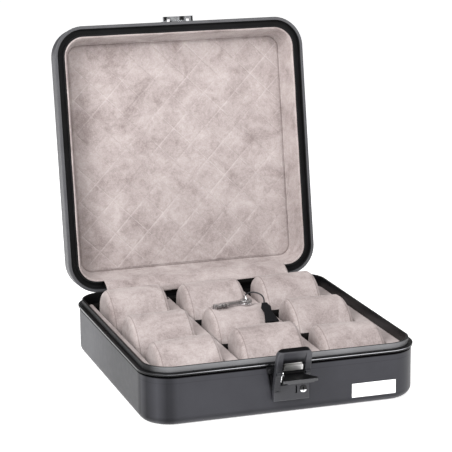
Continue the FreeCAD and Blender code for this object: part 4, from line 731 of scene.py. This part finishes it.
section = [lining_place(1, 0), lining_place(ROLL_SHARE, 0), lining_place(-0.015, 0.5 * MM),
           lining_place(-0.02, 1.2 * MM), lining_place(ROLL_SHARE, 1.9 * MM)]
for step in range(1, LINING_STEPS + 1):
    share = step / LINING_STEPS
    fillet = FILLET * max(0, (share - FILLET_FROM) / (1 - FILLET_FROM)) ** 2
    lift = LINING_THICK + LINING_PUFF * math.sin(math.pi * share) + fillet
    section.append(lining_place(ROLL_SHARE + (1 - ROLL_SHARE) * share, lift))
bm = bmesh.new()
case_ring(bm, section)
long_edges = [edge for edge in bm.edges if edge.calc_length() > LONG_RUN]
bmesh.ops.subdivide_edges(bm, edges=long_edges, cuts=LINING_CUTS, use_grid_fill=True)
for vert in bm.verts:
    vert.co += noise.noise_vector(vert.co / WAVE_SIZE) * WAVE_RISE
open_lid(bm)
lining = new_piece("lid_wall_lining_suede", bm, suede)
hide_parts("lid_wall_lining")
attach(lining, "lid")

# Lid panel: board padded with thin foam and covered with suede, glued to the lid's top.
# Its edge is rolled. A plain lattice of crossing lines is pressed into its face, and the lines carry a pale
# painted highlight, stronger in some patches.
PANEL_INSET, PANEL_ROLL = 15.3 * MM, 2.8 * MM
PANEL_FACE = LID_CEILING - 3.4 * MM
LINE_PITCH = 31.8 * MM / math.sqrt(2)
LINES_EACH_WAY = 7
LINE_STEPS = (-2.0 * MM, -0.8 * MM, 0, 0.8 * MM, 2.0 * MM)
RISING_OFFSET, FALLING_OFFSET = -28.9 * MM / math.sqrt(2), 18 * MM / math.sqrt(2)
# Each set of lines: direction, offset, depth pressed and share of pale painted highlight.
LINE_SETS = ((Vector((1, 1, 0)).normalized(), RISING_OFFSET, 0.26 * MM, 0.38),
             (Vector((1, -1, 0)).normalized(), FALLING_OFFSET, 0.42 * MM, 0.34))
ON_LINE, HIGHLIGHT_PATCH = 1e-5, 40 * MM


def on_panel_face(place):
    """Whether a place lies on the panel's flat face."""
    return abs(place.z - PANEL_FACE) < FLAT


bm = bmesh.new()
back = rim_loop(bm, PANEL_INSET, LID_CEILING)
face_loop = next_loop(bm, back, PANEL_INSET, PANEL_FACE)
bmesh.ops.edgeloop_fill(bm, edges=back)
bmesh.ops.edgeloop_fill(bm, edges=face_loop)
rounded(bm, face_loop, PANEL_ROLL, 6)
for direction, offset, _, _ in LINE_SETS:
    for number in range(-LINES_EACH_WAY, LINES_EACH_WAY + 1):
        for step in LINE_STEPS:
            flat = [face for face in bm.faces if on_panel_face(face.calc_center_median())]
            sliced(bm, flat, direction * (offset + number * LINE_PITCH + step), direction)
# The pressed lines carry the pale painted highlight, stronger in some patches.
pale_highlight = bm.verts.layers.float.new("pale_highlight")
pressed = {}
for vert in bm.verts:
    if on_panel_face(vert.co):
        for direction, offset, depth, highlight_share in LINE_SETS:
            lines_in = (vert.co.dot(direction) - offset) / LINE_PITCH
            if abs(lines_in - round(lines_in)) * LINE_PITCH < ON_LINE:
                patch = min(1, max(0, 0.5 + noise.noise(vert.co / HIGHLIGHT_PATCH)))
                pressed[vert] = max(pressed.get(vert, (0, 0)), (depth, highlight_share * patch))
for vert, (depth, highlight_share) in pressed.items():
    vert.co.z += depth
    vert[pale_highlight] = highlight_share
open_lid(bm)
panel = new_piece("lid_panel_suede", bm, suede)
keep_corners(panel, 50)
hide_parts("lid_panel")
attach(panel, "lid")

# Hinge flap: a strip of suede glued to the lid's lining and to the ledge, which hides the hinge gap.
# It hangs slack with the lid open, with a few soft folds along it, and its lower part is black as painted
# shade, below a line that slants across it.
FLAP_HALF, FLAP_THICK = 89 * MM, 0.8 * MM
FLAP_PATH = [Vector((0, y, z)) for y, z in ((133.3, 58.1), (129.6, 58.3), (124.4, 57.4), (119.2, 54.6),
                                            (115.4, 51.0), (114.6, 47.6), (116.6, 44.6), (118.6, 40.9))]
FLAP_ROWS, FLAP_COLUMNS = 30, 110
RIPPLE_ACROSS, RIPPLE_DOWN, RIPPLE_SEED, RIPPLE_RISE = 3.1, 2.6, 0.4, 1.0 * MM
FOLD_TURN, FOLD_RISE = 15, 0.25 * MM
FLAP_SHADE_TOP, SHADE_SLANT, SHADE_LEVEL_FROM = 48.1 * MM, 0.053, 45 * MM


def flap_point(share):
    """Place on the flap's line, from the lid at 0 to the ledge at 1."""
    reached = share * (len(FLAP_PATH) - 1)
    index = min(int(reached), len(FLAP_PATH) - 2)
    return FLAP_PATH[index].lerp(FLAP_PATH[index + 1], reached - index) * MM


bm = bmesh.new()
strip = bmesh.ops.create_grid(bm, x_segments=FLAP_COLUMNS, y_segments=FLAP_ROWS, size=1)["verts"]
for vert in strip:
    across, share = vert.co.x, (1 - vert.co.y) / 2
    place = flap_point(share)
    slack = math.sin(math.pi * share) ** 2
    ripple = noise.noise(Vector((across * RIPPLE_ACROSS, share * RIPPLE_DOWN, RIPPLE_SEED))) * RIPPLE_RISE
    ripple += math.sin(share * FOLD_TURN) * FOLD_RISE
    vert.co = Vector((across * FLAP_HALF, place.y - 0.5 * ripple * slack, place.z + ripple * slack))
bmesh.ops.smooth_vert(bm, verts=[vert for vert in bm.verts if not vert.is_boundary], factor=0.5,
                      use_axis_x=False, use_axis_y=True, use_axis_z=True)
bmesh.ops.solidify(bm, geom=bm.faces[:], thickness=FLAP_THICK)
# Painted shade: the flap is black below a line that slants across it.
for face in bm.faces:
    middle = face.calc_center_median()
    if middle.z < FLAP_SHADE_TOP + SHADE_SLANT * min(SHADE_LEVEL_FROM, middle.x):
        face.material_index = 1
flap = new_piece("hinge_flap_suede", bm, suede, felt_and_shade_black)
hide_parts("hinge_flap")
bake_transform(flap)

# Hinges: two butt hinges of black steel on the back, riveted through the shells.
# Each turns on a bright steel pin.
satin_black = plain_finish("satin_black", (0.022, 0.022, 0.026), (0.030, 0.030, 0.035), rough=(0.30, 0.42),
                           peel=0.012 * MM, gloss=0.35)
bright_steel = plain_finish("bright_steel", (0.78, 0.78, 0.79), (0.90, 0.90, 0.91), rough=(0.14, 0.26),
                            peel=0.006 * MM, metal=1.0, streak=(1, 6, 6))
paint(satin_black, "hinge_base_leaf_left", "hinge_base_leaf_right", "hinge_lid_leaf_left",
      "hinge_lid_leaf_right", "hinge_base_rivets", "hinge_lid_rivets")
paint(bright_steel, "hinge_pin_left", "hinge_pin_right")

# Keeper: chromed hook plate on the lid's front edge, riveted on. The latch's claw catches its lip.
# The chrome is toned with the dark stripes that the real one mirrors.
chrome = plain_finish("chrome", (0.62, 0.63, 0.65), (0.74, 0.75, 0.77), rough=(0.06, 0.16), peel=0.004 * MM,
                      metal=1.0)
tree = chrome.node_tree
across = along(tree, "X", -17 * MM, 17 * MM)
upper_stripes = tones(tree, across, (0.08, 1), (0.11, 0.05), (0.17, 0.05), (0.20, 1), (0.53, 1), (0.57, 0.06),
                      (0.66, 0.06), (0.70, 1), (0.86, 1), (0.89, 0.05), (0.95, 0.05), (0.98, 1))
lower_stripes = tones(tree, across, (0.22, 1), (0.25, 0.05), (0.30, 0.05), (0.33, 1), (0.86, 1), (0.89, 0.05),
                      (0.95, 0.05), (0.98, 1))
upper_part = along(tree, "Z", 290.2 * MM, 290.6 * MM)
toned(chrome, mixed(tree, lower_stripes, upper_stripes, upper_part))
paint(chrome, "keeper", "keeper_rivets")

# Latch: a cast black cover swings on the back plate and carries the nickel hook and the lever that draws it
# down, with a wire spring beside it. The lock sits in its case below. Their edges are a little blunted.
# The cover's slope and the lever's front edge carry a painted grey highlight, the rest of both is toned to
# black as painted shade, and a painted shadow lies over the hook.
COVER_GLOSS, LEVER_GLOSS = 0.35, 0.25


def blunt_edges(width, *nodes):
    """Blunt the edges of solids that show as they are."""
    for name in nodes:
        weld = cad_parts[name].modifiers.new("join", "WELD")
        weld.merge_threshold = 0.002 * MM
        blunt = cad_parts[name].modifiers.new("blunt", "BEVEL")
        blunt.width = width
        blunt.segments = 2
        blunt.limit_method = "ANGLE"
        blunt.angle_limit = math.radians(40)
        blunt.harden_normals = False


# The back plate, rivets and pins are matt black; the plate's black also stands in for the shade beside the
# cover.
plate_black = plain_finish("matt_black_plate", (0.004, 0.004, 0.005), (0.007, 0.007, 0.008), rough=(0.4, 0.5),
                           peel=0.01 * MM, gloss=0.10)
paint(plate_black, "latch_plate", "latch_rivets", "latch_pivot_pin", "lever_pin")
paint(satin_black, "lock_case")
paint(bright_steel, "latch_spring")

cover_black_painted_light = plain_finish("satin_black_cover_painted_light", (0.034, 0.034, 0.039), (0.042, 0.042, 0.048),
                           rough=(0.30, 0.42), peel=0.012 * MM)
tree = cover_black_painted_light.node_tree
# Painted light on the cover: grey on its slope, black on its top and lower wings, and a painted shadow over
# the hook between its cheeks.
slope_painted_light = tones(tree, along(tree, "Z", 40 * MM, 62 * MM), (0.0, 0.55), (0.35, 0.6), (0.55, 1), (0.87, 1),
                   (0.90, 0.1), (1.0, 0.1))
painted_shadow_over_hook = tones(tree, along(tree, "Z", 44 * MM, 56 * MM), (0.54, 0.2), (0.86, 1))
between_cheeks = tones(tree, along(tree, "X", -12 * MM, 12 * MM), (0.08, 0), (0.14, 1), (0.86, 1), (0.92, 0))
toned(cover_black_painted_light, times(tree, slope_painted_light, painted_shadow_over_hook, between_cheeks), COVER_GLOSS)
paint(cover_black_painted_light, "latch_cover")

lever_black_painted_edge = plain_finish("gloss_black_lever_painted_edge", (0.045, 0.045, 0.048), (0.055, 0.055, 0.058),
                           rough=(0.30, 0.40), peel=0.01 * MM)
tree = lever_black_painted_edge.node_tree
# Painted highlight on the lever's front edge; the rest is toned near black as painted shade.
front_edge_painted_highlight = tones(tree, along(tree, "Y", -153.8 * MM, -150.8 * MM), (0.0, 1), (0.3, 1), (0.4, 0.08),
                   (1.0, 0.08))
toned(lever_black_painted_edge, front_edge_painted_highlight, LEVER_GLOSS)
paint(lever_black_painted_edge, "latch_lever")

nickel = plain_finish("satin_nickel", (0.88, 0.87, 0.86), (0.96, 0.95, 0.93), rough=(0.38, 0.5),
                      peel=0.008 * MM, metal=0.9, streak=(1, 8, 8))
tree = nickel.node_tree
# Painted shade on the hook, darker towards its left end.
toned(nickel, tones(tree, along(tree, "X", -8 * MM, 8 * MM), (0.0, 0.24), (0.55, 0.60), (1.0, 1)))
paint(nickel, "latch_hook")

nickel_painted_reflection = plain_finish("nickel_painted_reflection", (0.70, 0.70, 0.71), (0.85, 0.85, 0.86), rough=(0.2, 0.3),
                           peel=0.006 * MM, metal=1.0)
tree = nickel_painted_reflection.node_tree
# Painted reflection on the lock cylinder: bright along its lower part, black above.
toned(nickel_painted_reflection, tones(tree, along(tree, "Z", 19 * MM, 26 * MM), (0.32, 1), (0.40, 0.03), (1.0, 0.03)))
paint(nickel_painted_reflection, "lock_cylinder")

blunt_edges(0.5 * MM, "latch_cover", "latch_lever", "latch_plate", "lock_case")
blunt_edges(0.3 * MM, "latch_hook", "lock_cylinder")

# Name plate: a plain white enamelled plate on the base's front.
# It is left bare.
PLATE_LOW, PLATE_HIGH = Vector((57.3, -122.5, 7.35)) * MM, Vector((96.7, -122.0, 19.3)) * MM
PLATE_FRONT, PLATE_ROUND = -122.4 * MM, 0.15 * MM
enamel = plain_finish("white_enamel", (0.90, 0.90, 0.90), (0.96, 0.96, 0.96), rough=(0.25, 0.35),
                      peel=0.006 * MM)
bm = bmesh.new()
plate_block = Matrix.LocRotScale((PLATE_LOW + PLATE_HIGH) / 2, None, PLATE_HIGH - PLATE_LOW)
bmesh.ops.create_cube(bm, size=1, matrix=plate_block)
rounded(bm, [edge for edge in bm.edges if max(end.co.y for end in edge.verts) < PLATE_FRONT], PLATE_ROUND, 2)
plate = new_piece("name_plate_enamel", bm, enamel)
keep_corners(plate)
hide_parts("name_plate")
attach(plate, "base")

# Keys: two stamped steel keys lie on the middle pillow, on a small wire ring.
# The upper one is duller than the lower one.
key_grey = plain_finish("key_steel", (0.45, 0.45, 0.45), (0.58, 0.58, 0.58), rough=(0.25, 0.38),
                        peel=0.01 * MM, metal=1.0)
paint(key_grey, "key_upper")
paint(bright_steel, "key_lower", "key_ring")
blunt_edges(0.12 * MM, "key_upper", "key_lower")

# Key cord: a thin stiff waxed cord from the ring, arched over to the tag.
# The tag is a small flat piece of soft black plastic at its end.
CORD_POINTS = [(9.0, 11.5, 65.4), (14.0, 15.6, 66.3), (20.0, 15.2, 66.2),
               (24.4, 9.6, 64.8), (24.4, 2.8, 62.4), (22.0, -3.4, 60.5)]
CORD_RADIUS = 0.65 * MM
curve = bpy.data.curves.new("key_cord_line", "CURVE")
curve.dimensions = "3D"
spline = curve.splines.new("NURBS")
spline.points.add(len(CORD_POINTS) - 1)
for point, (x, y, z) in zip(spline.points, CORD_POINTS):
    point.co = (x * MM, y * MM, z * MM, 1)
spline.order_u = 3
spline.use_endpoint_u = True
spline.resolution_u = 16
curve.bevel_depth = CORD_RADIUS
curve.bevel_resolution = 4
curve.use_fill_caps = True
cord = bpy.data.objects.new("key_cord_line", curve)
bpy.context.scene.collection.objects.link(cord)
cord_black = plain_finish("waxed_cord", (0.010, 0.010, 0.011), (0.022, 0.022, 0.024), rough=(0.5, 0.7),
                          peel=0.05 * MM)
curve.materials.append(cord_black)
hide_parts("key_cord")
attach(cord, "keys")
tag_black = plain_finish("soft_black", (0.004, 0.004, 0.005), (0.008, 0.008, 0.009), rough=(0.4, 0.55),
                         peel=0.03 * MM, gloss=0.12)
paint(tag_black, "key_tag")
blunt_edges(0.3 * MM, "key_tag")

# Floor: a plain sheet of white acrylic under the box, not part of it.
# It is lit a little from below so that it stays white to its far edge.
FLOOR_HALF, FLOOR_GLOW = 6, 0.7
bm = bmesh.new()
bmesh.ops.create_grid(bm, x_segments=1, y_segments=1, size=FLOOR_HALF)
floor_white = plain_finish("white_floor", (0.86, 0.86, 0.86), (0.90, 0.90, 0.90), rough=(0.7, 0.8),
                           peel=0.02 * MM)
acrylic = floor_white.node_tree.nodes["Principled BSDF"]
acrylic.inputs["Emission Color"].default_value = (1, 1, 1, 1)
acrylic.inputs["Emission Strength"].default_value = FLOOR_GLOW
floor = new_piece("floor", bm, floor_white)

# Studio: white surroundings, large softboxes above, in front and to the left, and the camera where the
# photograph was taken, a long lens slightly above the box.
CAMERA_PLACE = (-0.4994, -1.4694, 0.5065)
CAMERA_YAW, CAMERA_PITCH, CAMERA_ROLL = math.radians(18.362), math.radians(13.576), math.radians(-0.414)
CAMERA_LENS, CAMERA_SENSOR = 146.27, 36
SURROUND_LIGHT = 0.30
world = bpy.data.worlds.new("white_studio")
world.use_nodes = True
world.node_tree.nodes["Background"].inputs["Color"].default_value = (1, 1, 1, 1)
world.node_tree.nodes["Background"].inputs["Strength"].default_value = SURROUND_LIGHT
bpy.context.scene.world = world
bpy.context.scene.view_settings.view_transform = "Standard"


def softbox(name, place, aim, size, watts):
    """Large soft light at a place, aimed at a point."""
    light = bpy.data.lights.new(name, "AREA")
    light.shape = "RECTANGLE"
    light.size, light.size_y = size
    light.energy = watts
    lamp = bpy.data.objects.new(name, light)
    lamp.location = place
    lamp.rotation_euler = (Vector(aim) - Vector(place)).to_track_quat("-Z", "Y").to_euler()
    bpy.context.scene.collection.objects.link(lamp)


softbox("softbox_above", (-0.6, -0.6, 1.6), (0, 0, 0), (1.6, 1.0), 25)
softbox("softbox_front", (0.9, -1.7, 1.3), (0, 0, 0.1), (1.4, 0.8), 21)
softbox("softbox_left", (-1.5, -1.0, 1.0), (0, 0, 0.1), (0.9, 0.9), 36)

camera = bpy.data.cameras.new("camera")
camera.sensor_width = CAMERA_SENSOR
camera.lens = CAMERA_LENS
view = bpy.data.objects.new("camera", camera)
ahead = Vector((math.sin(CAMERA_YAW) * math.cos(CAMERA_PITCH), math.cos(CAMERA_YAW) * math.cos(CAMERA_PITCH),
                -math.sin(CAMERA_PITCH)))
right = Vector((math.cos(CAMERA_YAW), -math.sin(CAMERA_YAW), 0))
up = right.cross(ahead)
turn = Matrix.Rotation(CAMERA_ROLL, 3, -ahead)
facing = Matrix((turn @ right, turn @ up, -ahead)).transposed().to_4x4()
view.matrix_world = Matrix.Translation(CAMERA_PLACE) @ facing
bpy.context.scene.collection.objects.link(view)
bpy.context.scene.camera = view
